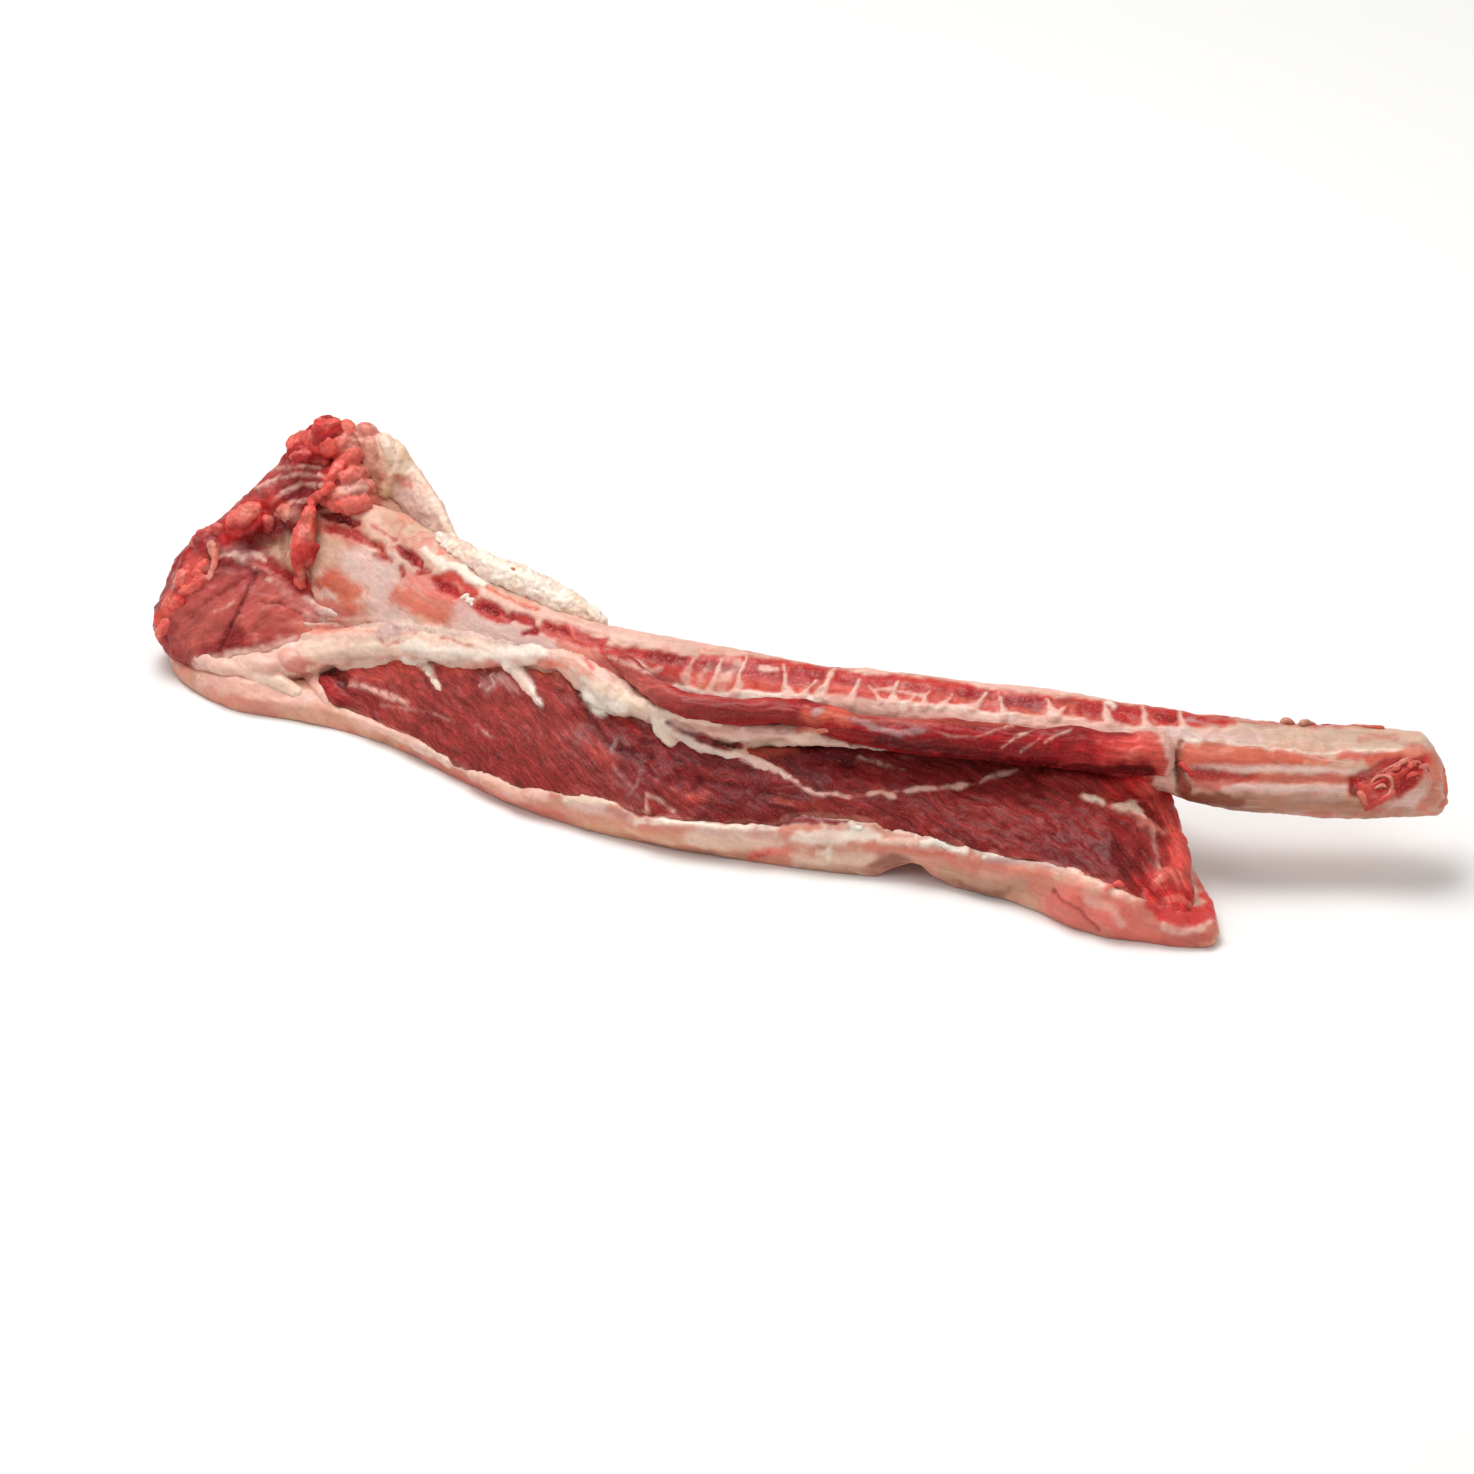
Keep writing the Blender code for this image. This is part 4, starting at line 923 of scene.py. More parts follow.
boneLook = {
    "base": "sand", "swell": 0.5, "voxel": 0.72, "rounds": 6,
    "slope": ((-180, 35), (-60, 25), (20, 12), (215, 4)),
    "fibre": (12.0, 0.8), "fibreHeight": 0.15, "crumb": 0.1,
    "lumps": ((9, 0.35, 51), (3, 0.2, 52)),
    "blotches": (
        ("palePink", 14, 0.0, 0.3, 0.6, 53),
        ("salmon", 10, 0.25, 0.2, 0.5, 54),
        ("coral", 8, 0.5, 0.15, 0.5, 55),
    ),
    "meets": ((("front_muscle", "rib_strip"), "coral", 1.5, 0.3, 0.0),),
    "strokes": (
        # broad plate
        ("tan", 16, 20, 0, ((300, 520), (305, 560)), 0.9),
        ("sand", 20, 20, 0, ((325, 545), (350, 555)), 0.8),
        ("lavender", 20, 22, 0, ((360, 560), (390, 590), (392, 620)), 0.85),
        ("lavender", 12, 16, 0, ((400, 560), (430, 600)), 0.4),
        ("rust", 7, 8, -0.2, ((318, 582), (330, 592)), 0.8),
        ("orange", 13, 12, 0, ((332, 578, 9), (346, 592, 14), (352, 606, 10)), 0.85),
        ("lavender", 3, 4, 0.2, ((324, 592), (334, 598)), 0.8),
        ("salmon", 12, 12, 0, ((400, 596), (420, 604), (450, 612)), 0.8),
        ("orange", 7, 10, 0, ((402, 592), (412, 608), (440, 616)), 0.6),
        ("coral", 10, 14, 0, ((415, 580), (450, 596), (480, 612)), 0.55),
        ("lavender", 10, 12, 0, ((470, 628), (520, 640), (560, 652)), 0.6),
        ("salmon", 8, 12, 0, ((500, 632), (540, 640), (600, 658)), 0.6),
        ("lavender", 12, 14, 0, ((462, 612), (490, 624), (520, 634), (548, 644)), 0.85),
        ("white", 7, 5, 0.5, ((424, 552, 4), (446, 566, 6), (468, 576, 7), (484, 582, 4)), 0.9),
        ("palePink", 7, 6, 0.3, ((478, 592, 5), (510, 604, 6), (545, 614, 6)), 0.85),
        ("orange", 1.8, 3.5, -0.4, ((488, 587), (500, 594), (515, 601), (530, 607), (546, 612)), 0.9),
        ("rust", 11, 12, 0, ((326, 524), (345, 530), (356, 538)), 0.65),
        ("deep", 5, 3.5, -0.8, ((322, 516, 3), (340, 518, 6), (355, 523, 5)), 0.95),
        ("dark", 3, 3.5, -0.4, ((338, 519), (350, 522)), 0.8),
        ("blood", 5, 5, -0.8, ((330, 528), (350, 532), (360, 538)), 0.85),
        ("rust", 5, 5, -0.9, ((368, 541, 3), (378, 545, 5), (383, 555, 4)), 0.9),
        ("deep", 2.4, 3.5, -0.6, ((372, 542), (380, 548)), 0.9),
        ("blood", 3, 5, -0.6, ((376, 556), (390, 560)), 0.7),
        ("blood", 6, 3.5, -1.1, ((398, 547, 3), (408, 556, 5), (417, 564, 5)), 0.95),
        ("deep", 3, 3.5, -0.8, ((404, 553), (412, 560)), 0.9),
        ("rose", 2, 4, -0.4, ((372, 525), (384, 533), (394, 540)), 0.85),
        ("blood", 2.6, 3.5, -0.4, ((401, 567), (402, 575)), 0.9),
        ("blood", 3, 3.5, -0.6, ((418, 572), (428, 570)), 0.9),
        ("marrow", 12, 6, -0.5, ((438, 580, 8), (454, 585, 13), (470, 592, 8)), 0.95),
        ("blood", 6, 6, -0.4, ((438, 582, 6), (450, 588, 6), (466, 597, 4)), 0.9),
        ("deep", 2.4, 4, -0.4, ((436, 582), (448, 586)), 0.7),
        ("blush", 2.5, 3.5, 0.5, ((455, 583), (461, 592)), 0.8),
        ("marrow", 9, 5, -0.4, ((480, 606, 8), (492, 612, 10), (502, 618, 7)), 0.95),
        ("blood", 5, 5, -0.4, ((480, 606, 5), (494, 610, 5)), 0.9),
        ("deep", 3.5, 3.5, -0.8, ((484, 607), (494, 613)), 0.85),
        ("blood", 3, 3.5, -0.6, ((503, 612), (509, 620)), 0.85),
        ("blood", 5, 4, -0.8, ((514, 616), (530, 622)), 0.95),
        ("blood", 4, 3.5, -0.5, ((525, 632, 3), (534, 631, 5)), 0.95),
        ("deep", 2.2, 3.5, -0.3, ((526, 633), (533, 631)), 0.8),
        ("marrow", 8, 5, -0.4, ((546, 628, 7), (560, 632, 9), (580, 637, 10), (600, 642, 7)), 0.95),
        ("blood", 4, 6, -0.3, ((546, 625), (570, 631), (600, 639)), 0.7),
        ("deep", 2.4, 3.5, -0.6, ((548, 626), (566, 631)), 0.7),
        ("flesh", 2, 3.5, 0.4, ((571, 628), (575, 638)), 0.7),
        ("salmon", 4, 6, 0.2, ((560, 642), (580, 651), (600, 656)), 0.7),
        # pale bands along the foot of the plate
        ("rose", 7, 8, 0, ((305, 596), (320, 606), (350, 614)), 0.8),
        ("palePink", 1.6, 4, 0.35, ((300, 620), (340, 619), (372, 620)), 0.8),
        ("orange", 6, 7, 0, ((302, 626), (320, 627), (338, 626)), 0.7),
        ("palePink", 7, 8, 0.2, ((300, 636), (350, 633), (420, 630), (470, 636)), 0.85),
        ("salmon", 1.5, 4, 0, ((310, 633), (350, 630), (380, 636)), 0.6),
        ("white", 3, 5, 0.3, ((400, 626), (440, 630), (480, 642)), 0.5),
        ("silver", 6, 6, 0.2, ((382, 632), (396, 632)), 0.8),
        ("rose", 1.5, 4, -0.2, ((440, 638), (470, 648), (490, 653)), 0.7),
        # red patches along the top of the rib, with pale tissue round them
        ("pinkFat", 14, 10, 0, ((610, 664, 12), (700, 678, 14), (800, 684, 14), (900, 698, 14),
            (1050, 710, 14), (1180, 722, 10)), 0.95),
        ("dusky", 11, 12, 0, ((604, 664), (640, 672), (680, 682)), 0.9),
        ("orange", 8, 10, 0, ((690, 682), (740, 686), (820, 688), (890, 694), (960, 700)), 0.8),
        ("marrow", 10, 4, -0.3, ((606, 651, 6), (650, 659, 9), (690, 670, 15), (750, 673, 17),
            (800, 678, 16), (850, 682, 13), (900, 689, 12), (950, 693, 11), (1000, 701, 12),
            (1050, 704, 9), (1100, 710, 11), (1150, 715, 11), (1200, 720, 8), (1230, 722, 5))),
        *(
            ("blood", (low - high) * 0.3, 8, -0.15, ((left + 9, (high + low) / 2 - 2),
                (right - 9, (high + low) / 2)), 0.65)
            for left, right, high, low in redPatches
        ),
        ("flesh", 8, 10, 0, ((690, 676), (740, 682)), 0.7),
        ("palePink", 3, 5, 0.4, ((694, 658, 1), (690, 668, 3), (684, 678, 4), (688, 690, 5)), 0.75),
        ("palePink", 3, 5, 0.3, ((708, 664, 2), (700, 678, 3), (698, 690, 4)), 0.7),
        ("palePink", 3, 5, 0.3, ((732, 666, 2), (726, 678, 4), (722, 690, 5)), 0.75),
        ("palePink", 5, 8, 0.2, ((716, 684), (730, 672), (738, 666)), 0.7),
        ("deep", 5, 6, -0.2, ((655, 656), (680, 660)), 0.7),
        *(
            ("orange", 4, 5, 0, ((left + 6, low - 5), (right - 6, low - 4)), 0.6)
            for left, right, high, low in redPatches[2:14]
        ),
        ("deep", 4, 6, -0.2, ((700, 664), (735, 668)), 0.6),
        ("blood", 5, 7, -0.2, ((764, 668), (776, 676)), 0.7),
        ("deep", 4, 6, -0.2, ((796, 670), (820, 674)), 0.6),
        ("blood", 4, 6, -0.2, ((840, 678), (856, 682)), 0.7),
        ("blood", 4, 6, -0.2, ((908, 690), (924, 692)), 0.7),
        ("deep", 4, 6, -0.2, ((962, 692), (990, 695)), 0.6),
        ("deep", 6, 7, -0.2, ((1010, 700), (1036, 703)), 0.7),
        ("deep", 3, 5, -0.2, ((1052, 700), (1072, 701)), 0.7),
        ("blood", 7, 7, -0.2, ((1086, 710), (1098, 712)), 0.6),
        ("deep", 4, 5, -0.2, ((1160, 714), (1174, 718)), 0.7),
        ("silver", 2, 4, 0.2, ((1188, 718), (1205, 722), (1216, 728)), 0.6),
        ("palePink", 5, 4, 0.4, ((545, 610, 4), (600, 629, 7), (650, 639, 6), (690, 644, 4),
            (750, 650, 1.8), (850, 664, 1.8), (950, 679, 2.0), (1000, 686, 3), (1040, 689, 2.2),
            (1150, 701, 2.0), (1190, 707, 2.4)), 0.95),
        ("palePink", 2, 4, 0.3, ((624, 660, 2), (636, 664, 4), (650, 672, 3), (662, 668, 1.5)), 0.8),
        ("palePink", 3, 4, 0.4, ((762, 668), (775, 669)), 0.9),
        ("palePink", 2.5, 4, 0.4, ((880, 690), (905, 692), (925, 694)), 0.8),
        ("white", 4, 4, 0.6, ((650, 682, 2), (670, 687, 3.5), (690, 692, 3.5), (716, 698, 4),
            (745, 696, 6), (790, 699, 4.5), (825, 702, 3.5)), 0.95),
        ("palePink", 8, 6, 0.3, ((825, 700, 5), (860, 706, 7), (900, 711, 9), (960, 713, 8),
            (1000, 719, 6), (1060, 724, 7), (1110, 728, 7), (1160, 733, 7)), 0.95),
        ("white", 4, 6, 0.2, ((890, 706), (960, 710), (1010, 718)), 0.6),
        *(
            ("palePink", half, 3.5, 0.5,
             ((x0, y0, half * 0.3), ((x0 + x1) / 2 + 2.2 * math.sin(x0), (y0 + y1) / 2, half * 0.7),
                 (x1, y1, half * 1.7)), 0.95)
            for x0, y0, x1, y1, half in septa
        ),
        ("white", 3, 4, 0.4, ((1108, 702), (1113, 706)), 0.9),
        ("blood", 5, 4, 0, ((1100, 770), (1130, 775), (1150, 780)), 0.95),
        # bare end
        ("sand", 26, 14, 0, ((1210, 750), (1300, 760), (1440, 780)), 0.95),
        # the bare bone's pale top band, made paler as painted light where it faces up
        ("ash", 10, 8, 0, ((1230, 733), (1320, 737), (1430, 744)), 0.85),
        ("rose", 3, 5, 0, ((1230, 721), (1300, 724), (1350, 726)), 0.7),
        ("lavender", 7, 7, 0.2, ((1172, 734), (1210, 736), (1258, 738)), 0.85),
        ("tan", 8, 9, 0, ((1240, 733), (1320, 737), (1415, 738)), 0.3),
        ("rose", 3, 6, 0, ((1360, 737), (1395, 737)), 0.6),
        ("white", 2, 4, 0.3, ((1186, 741), (1220, 743), (1260, 748), (1320, 755), (1345, 752),
            (1400, 751)), 0.85),
        ("orange", 10, 7, 0.3, ((1184, 755, 11), (1230, 756, 11), (1280, 758, 7), (1330, 762, 3)), 0.85),
        ("rust", 3, 6, 0, ((1190, 762), (1250, 764), (1300, 763)), 0.6),
        ("lavender", 3, 5, 0.1, ((1196, 768), (1290, 769), (1370, 772)), 0.8),
        ("coral", 4, 6, 0.1, ((1340, 756), (1372, 757), (1400, 757)), 0.8),
        ("blood", 6, 6, -0.3, ((1196, 775, 7), (1230, 776, 6), (1255, 778, 4)), 0.9),
        ("rust", 5, 6, -0.2, ((1250, 778), (1300, 779), (1355, 779)), 0.85),
        ("rose", 4, 6, 0, ((1195, 785), (1230, 786)), 0.7),
        ("lavender", 4, 5, 0.3, ((1225, 789), (1290, 789), (1345, 788)), 0.85),
        # the bone's tan, darkened as painted shade where the lower side faces down
        ("tan", 9, 7, 0, ((1200, 800), (1280, 803), (1360, 804)), 0.95),
        ("brown", 6, 7, 0, ((1186, 800), (1220, 798), (1240, 802)), 0.9),
        ("grey", 5, 7, 0.1, ((1290, 800), (1340, 798)), 0.6),
        # painted shade along the lowest edge
        ("brown", 9, 9, 0, ((1200, 804), (1280, 808), (1400, 810)), 0.25),
        ("rust", 8, 9, 0, ((1190, 758), (1240, 758), (1290, 761)), 0.25),
        # the dark gap where the strip ends: brown tissue, darkened as painted shade in the gap
        ("brown", 5, 4, -0.5, ((1180, 742, 3), (1177, 758, 3), (1180, 775, 7), (1183, 790, 8)), 0.95),
        ("blood", 3, 5, -0.2, ((1180, 776), (1184, 790)), 0.6),
        ("brown", 3, 5, 0.2, ((1181, 742), (1180, 756)), 0.8),
        ("umber", 2.4, 4, -0.5, ((1175, 762), (1177, 782)), 0.8),
        ("orange", 8, 8, 0, ((1372, 760), (1400, 760), (1436, 764)), 0.8),
        ("salmon", 9, 8, 0.2, ((1410, 752), (1432, 760), (1438, 775)), 0.85),
        ("lavender", 9, 7, 0.2, ((1392, 806, 4), (1405, 800, 8), (1418, 798, 8)), 0.85),
        ("salmon", 7, 8, 0.2, ((1424, 806), (1436, 796), (1434, 780)), 0.7),
        ("marrow", 12, 7, -0.3, ((1358, 788, 9), (1370, 792, 14), (1392, 784, 14), (1412, 772, 14),
            (1424, 764, 8)), 0.95),
        ("umber", 3, 5, -0.6, ((1353, 786), (1357, 798)), 0.8),
        ("blood", 7, 6, -0.6, ((1358, 778), (1372, 774), (1386, 768), (1400, 764)), 0.85),
        ("blood", 7, 6, -0.6, ((1404, 786), (1414, 776), (1420, 764)), 0.9),
        ("blood", 6, 5, -0.4, ((1380, 786), (1386, 786)), 0.9),
    ),
}


def makeRibBone():
    makePiece("rib_bone", "ribBone", boneLook, tissue("rawBone", boneFinish))


# cover fat
fatLook = {
    "base": "pinkFat", "swell": 0.5, "voxel": 0.86, "rounds": 8,
    "slope": ((-220, 35), (-60, 25), (60, 12), (135, 30)),
    "fibre": (14.0, 1.4), "fibreHeight": 0.25, "crumb": 0.14,
    "lumps": ((14, 0.9, 61), (5, 0.35, 62)),
    "blotches": (
        ("cream", 22, 0.25, 0.3, 0.3, 63),
        ("blush", 13, 0.05, 0.3, 0.55, 67),
        ("salmon", 15, 0.25, 0.2, 0.5, 64),
        ("tan", 12, 0.35, 0.2, 0.5, 65),
        ("butter", 26, 0.3, 0.25, 0.35, 66),
    ),
    "meets": ((("front_muscle",), "cream", 2.4, 0.85, 0.25),),
    # hollow where the edge lifts off the ground, in mm
    "arch": {"x": 42, "width": 7, "from": 55, "to": 66, "fade": (2, 9), "height": 5.5},
    "strokes": (
        ("salmon", 12, 12, 0, ((560, 820), (640, 836), (720, 848), (800, 856)), 0.35),
        ("leanMid", 4, 3.5, -0.5, ((774, 825, 2), (790, 820, 5), (805, 819, 5), (830, 820, 4),
            (846, 820, 2)), 1.0),
        ("coral", 18, 16, 0, ((1070, 906), (1120, 920), (1180, 934)), 0.55),
        ("palePink", 10, 12, 0, ((205, 680), (260, 690), (310, 700)), 0.8),
        ("palePink", 5, 6, 0.3, ((350, 716), (400, 734), (440, 752), (470, 766), (500, 784),
            (520, 797)), 0.85),
        ("lavender", 3, 6, 0.1, ((420, 746), (450, 756)), 0.7),
        ("coral", 3, 6, 0, ((400, 748), (440, 772), (500, 798), (560, 816)), 0.4),
        ("palePink", 7, 6, 0.6, ((528, 795, 4), (540, 791, 7), (552, 796, 5)), 0.9),
        ("salmon", 3, 4, 0.5, ((553, 796), (560, 797)), 0.9),
        ("leanMid", 3, 3.5, -0.5, ((618, 802, 1), (628, 808, 4), (640, 814, 4), (660, 817, 3),
            (700, 820, 2), (745, 823, 2)), 1.0),
        ("cream", 3, 5, 0.3, ((566, 801), (600, 804), (616, 803)), 0.85),
        ("lavender", 5, 6, 0, ((570, 806), (600, 810), (628, 818)), 0.6),
        ("rose", 5, 8, 0, ((610, 810), (622, 816)), 0.6),
        ("butter", 6, 8, 0.1, ((590, 825), (640, 836), (700, 844)), 0.5),
        ("white", 3, 5, 0.4, ((636, 822), (680, 822), (730, 828), (775, 830)), 0.9),
        ("lavender", 4, 6, 0, ((700, 830), (740, 834), (776, 836)), 0.7),
        ("cream", 7, 9, 0.2, ((690, 838), (740, 843), (780, 846)), 0.7),
        ("tan", 4, 8, 0, ((600, 842), (680, 852), (740, 858)), 0.6),
        ("flesh", 4, 5, 0.5, ((748, 857, 2), (762, 853, 5), (776, 850, 4), (790, 853, 3)), 0.9),
        ("blood", 2, 4, 0, ((758, 855), (768, 852)), 0.6),
        ("salmon", 4, 7, 0.1, ((784, 850), (796, 856)), 0.7),
        ("white", 7, 8, 0.3, ((794, 838, 5), (820, 837, 7), (845, 835, 8), (866, 834, 8),
            (880, 838, 3)), 0.95),
        ("white", 3, 4, 0.9, ((852, 824), (856, 828)), 0.95),
        ("white", 3, 4, 0.8, ((818, 852), (830, 851), (828, 857)), 0.9),
        ("cream", 8, 9, 0.1, ((800, 860), (840, 862), (870, 858)), 0.7),
        # painted shade: darker brown under the notch in the fat's edge, also sunk
        ("brown", 7, 8, -0.4, ((872, 866, 4), (890, 862, 7), (905, 862, 6)), 0.75),
        ("tan", 5, 7, 0, ((800, 868), (850, 871), (880, 874)), 0.6),
        ("salmon", 4, 7, 0, ((868, 848), (910, 850), (950, 856)), 0.8),
        ("coral", 2, 5, 0, ((905, 849), (935, 853), (955, 858)), 0.6),
        ("cream", 3, 4, 0.4, ((880, 842), (905, 842), (925, 845)), 0.8),
        ("white", 3.5, 4, 0.7, ((925, 843), (942, 842), (950, 848), (965, 852)), 0.95),
        ("silver", 4, 6, 0.1, ((985, 857), (1010, 860), (1040, 862), (1066, 868)), 0.85),
        ("white", 2, 4, 0.3, ((985, 857), (1005, 856), (1030, 858)), 0.8),
        ("salmon", 4, 7, 0, ((950, 864), (1000, 868), (1050, 876)), 0.8),
        # painted shade: the lower side of the bulge in tan, with a brown line along its underside
        ("tan", 8, 8, 0.1, ((945, 872), (975, 886), (1000, 890), (1020, 886)), 0.85),
        ("brown", 3, 6, 0, ((960, 886), (985, 892), (1010, 890)), 0.6),
        ("salmon", 12, 12, 0.2, ((1040, 884), (1060, 900), (1075, 920)), 0.7),
        ("palePink", 6, 7, 0.5, ((1066, 872, 4), (1085, 874, 6), (1100, 882, 6), (1125, 892, 6)), 0.9),
        ("coral", 5, 5, 0.7, ((1112, 886), (1120, 884)), 0.9),
        ("flesh", 18, 16, 0.3, ((1060, 905), (1110, 915), (1140, 925)), 0.75),
        ("salmon", 14, 16, 0, ((1150, 915), (1175, 925), (1200, 935)), 0.75),
        ("palePink", 5, 8, 0.2, ((1090, 900), (1112, 908), (1120, 922)), 0.6),
        ("blood", 1.4, 4, -0.9, ((1053, 890), (1066, 902), (1078, 908), (1086, 918), (1098, 930)), 0.75),
        ("coral", 1.4, 4, -0.6, ((1080, 898), (1084, 912)), 0.7),
        ("blush", 10, 10, 0, ((1140, 904), (1160, 918), (1186, 930)), 0.6),
        ("rose", 5, 7, 0.2, ((1165, 940), (1190, 943), (1208, 936)), 0.8),
        ("bright", 9, 6, 0.2, ((1150, 905, 5), (1166, 914, 8), (1184, 919, 9), (1202, 915, 9)), 0.95),
        ("bright", 9, 6, 0, ((1196, 864, 4), (1205, 882, 8), (1212, 904, 9), (1215, 916, 6)), 0.95),
        ("palePink", 3, 5, 0.3, ((1164, 926), (1180, 933), (1198, 929), (1210, 922)), 0.8),
    ),
}


def liftEdge(piece, arch):
    spots, _ = readMesh(piece)
    x, y, z = spots.T / mm
    edge = np.exp(-(((x - arch["x"]) / arch["width"]) ** 2))
    front = ease(-y, arch["from"], arch["to"])
    low = 1 - ease(z, *arch["fade"])
    spots[:, 2] += arch["height"] * mm * edge * front * low
    writeMesh(piece, spots)


def makeCoverFat():
    makePiece("cover_fat", "coverFat", fatLook, tissue("pinkCoverFat", fatFinish))


# seam fat, back fat and gristle
seamLook = {
    "base": "cream", "swell": 0.7, "voxel": 0.6, "rounds": 4,
    "fused": (
        (("palePink", "lavender"), (300, 624, 1.0, -0.6), (330, 626, 1.4, -1.0), (370, 627, 1.6, -1.2),
            (410, 628, 1.6, -1.2), (450, 633, 1.5, -1.1), (490, 641, 1.4, -1.0), (540, 648, 1.2, -0.8)),
        (("palePink", "cream"), (300, 637, 1.8, -0.6), (340, 636, 2.2, -0.8), (390, 636, 2.4, -0.8),
            (440, 640, 2.4, -0.8), (500, 648, 2.0, -0.8)),
        (("cream", "palePink"), (336, 662, 2.0, -0.6), (352, 665, 1.8, -0.6), (372, 664, 2.0, -0.8),
            (396, 660, 1.8, -0.6)),
        (("white", "cream"), (404, 656, 1.9, -0.7), (416, 662, 1.7, -0.7), (427, 672, 1.2, -0.6),
            (436, 684, 0.7, -0.5), (441, 692, 0.3, -0.4)),
        (("cream", "blush"), (444, 662, 1.8, -0.8), (462, 664, 1.6, -0.8), (482, 660, 1.8, -0.8),
            (500, 660, 1.6, -0.8)),
        (("white", "palePink"), (506, 660, 2.4, -0.9), (514, 668, 2.2, -0.9), (523, 679, 1.6, -0.8),
            (532, 692, 1.1, -0.6), (541, 707, 0.4, -0.4)),
        (("blush", "cream"), (540, 664, 1.6, -0.6), (558, 666, 1.8, -0.6), (574, 676, 1.8, -0.6),
            (584, 690, 1.6, -0.5)),
        (("palePink", "cream"), (196, 656, 1.6, -0.6), (224, 666, 2.6, -1.0), (252, 676, 2.8, -1.2),
            (280, 684, 2.4, -1.0), (300, 694, 1.4, -0.6)),
        (("blush", "palePink"), (282, 656, 2.0, -0.6), (298, 662, 2.4, -0.8), (310, 674, 2.4, -0.8),
            (320, 690, 1.8, -0.6), (328, 704, 1.0, -0.4)),
        (("cream", "blush"), (250, 660, 2.2, -0.8), (272, 668, 2.4, -1.0), (292, 678, 1.8, -0.8)),
        (("white", "cream"), (584, 694, 2.0, -0.6), (594, 701, 3.4, -1.2), (606, 705, 3.6, -1.4),
            (618, 706, 3.0, -1.2), (630, 710, 2.0, -0.8)),
        ("cream", (622, 700, 1.6, -0.6), (642, 706, 1.8, -0.7), (664, 713, 1.8, -0.8),
            (690, 718, 1.6, -0.8), (720, 722, 1.4, -0.7)),
        (("palePink", "cream"), (690, 722, 1.6, -0.6), (724, 726, 2.0, -0.7), (760, 728, 2.0, -0.7),
            (800, 728, 1.5, -0.7), (828, 727, 0.6, -0.6)),
        (("cream", "palePink"), (748, 744, 1.4, -0.6), (772, 740, 1.5, -0.6), (800, 736, 1.6, -0.6),
            (826, 738, 1.8, -0.7), (848, 742, 1.6, -0.7), (868, 744, 0.8, -0.4)),
        (("white", "cream"), (654, 714, 1.0, -0.2), (659, 724, 1.6, -0.3), (665, 735, 1.5, -0.4),
            (674, 746, 0.8, -0.3)),
        (("white", "palePink"), (664, 720, 1.2, -0.1), (676, 732, 1.6, -0.2), (690, 741, 1.8, -0.3),
            (706, 748, 1.7, -0.4), (724, 753, 1.4, -0.5), (742, 758, 1.6, -0.6), (760, 765, 1.8, -0.8),
            (778, 772, 1.2, -0.6), (790, 779, 0.7, -0.4)),
        (("pinkFat", "palePink"), (744, 742, 1.1, -0.3), (741, 750, 1.2, -0.4), (746, 758, 1.0, -0.3)),
    ),
    "fibre": (10.0, 1.2), "fibreHeight": 0.2, "crumb": 0.13,
    "lumps": ((9, 0.8, 71), (3.5, 0.38, 72)),
    "blotches": (("palePink", 8, 0.0, 0.25, 0.7, 73), ("white", 7, 0.2, 0.2, 0.5, 74),
        ("blush", 5, 0.35, 0.15, 0.6, 75)),
    "meets": ((("front_muscle",), "salmon", 1.4, 0.5, 0.0),),
    "strokes": (
        ("palePink", 8, 10, 0.3, ((205, 668), (250, 662), (300, 650)), 0.7),
        ("cream", 9, 10, 0.2, ((310, 652), (400, 650), (470, 652)), 0.7),
        ("salmon", 3, 5, 0, ((300, 662), (330, 666), (350, 664)), 0.6),
        ("rose", 1.2, 3.5, -0.3, ((300, 621), (340, 620), (380, 622)), 0.6),
        ("orange", 2.4, 4, 0, ((300, 628), (330, 628), (352, 627)), 0.7),
        ("salmon", 1.4, 4, 0, ((310, 633), (350, 630), (390, 634), (420, 633)), 0.6),
        ("silver", 5, 6, 0.1, ((382, 632), (396, 632)), 0.7),
        ("rose", 1.6, 4, -0.4, ((440, 637), (470, 646), (490, 652)), 0.75),
        ("silver", 2, 5, 0, ((450, 650), (480, 655), (520, 656)), 0.5),
        ("purple", 5, 4, -0.5, ((668, 722, 2.5), (688, 731, 6), (704, 738, 5)), 0.95),
        ("leanMid", 5, 4, -0.2, ((700, 738, 4), (722, 744, 6), (740, 748, 4)), 0.95),
        ("rose", 1.6, 4, -0.5, ((380, 640), (386, 646), (398, 641)), 0.8),
        ("white", 7, 7, 0.3, ((410, 645), (430, 652), (470, 654), (540, 652)), 0.8),
        ("orange", 5, 8, 0, ((548, 664), (570, 662), (592, 672)), 0.7),
        ("palePink", 8, 9, 0.2, ((560, 652), (590, 664), (612, 680)), 0.8),
        ("coral", 2, 4, 0, ((585, 660), (592, 668)), 0.8),
        ("white", 8, 7, 0.5, ((590, 696), (606, 704), (622, 704)), 0.95),
        ("cream", 6, 6, 0.3, ((620, 692), (645, 706), (670, 714)), 0.9),
        ("palePink", 8, 8, 0.1, ((680, 722), (720, 730), (780, 732)), 0.8),
        ("orange", 6, 7, 0.1, ((800, 728), (825, 727), (845, 726)), 0.85),
        # painted shadow: dark band under the overhanging strip, also sunk
        ("dark", 4, 6, -0.4, ((850, 742), (880, 745), (920, 752)), 0.9),
    ),
}
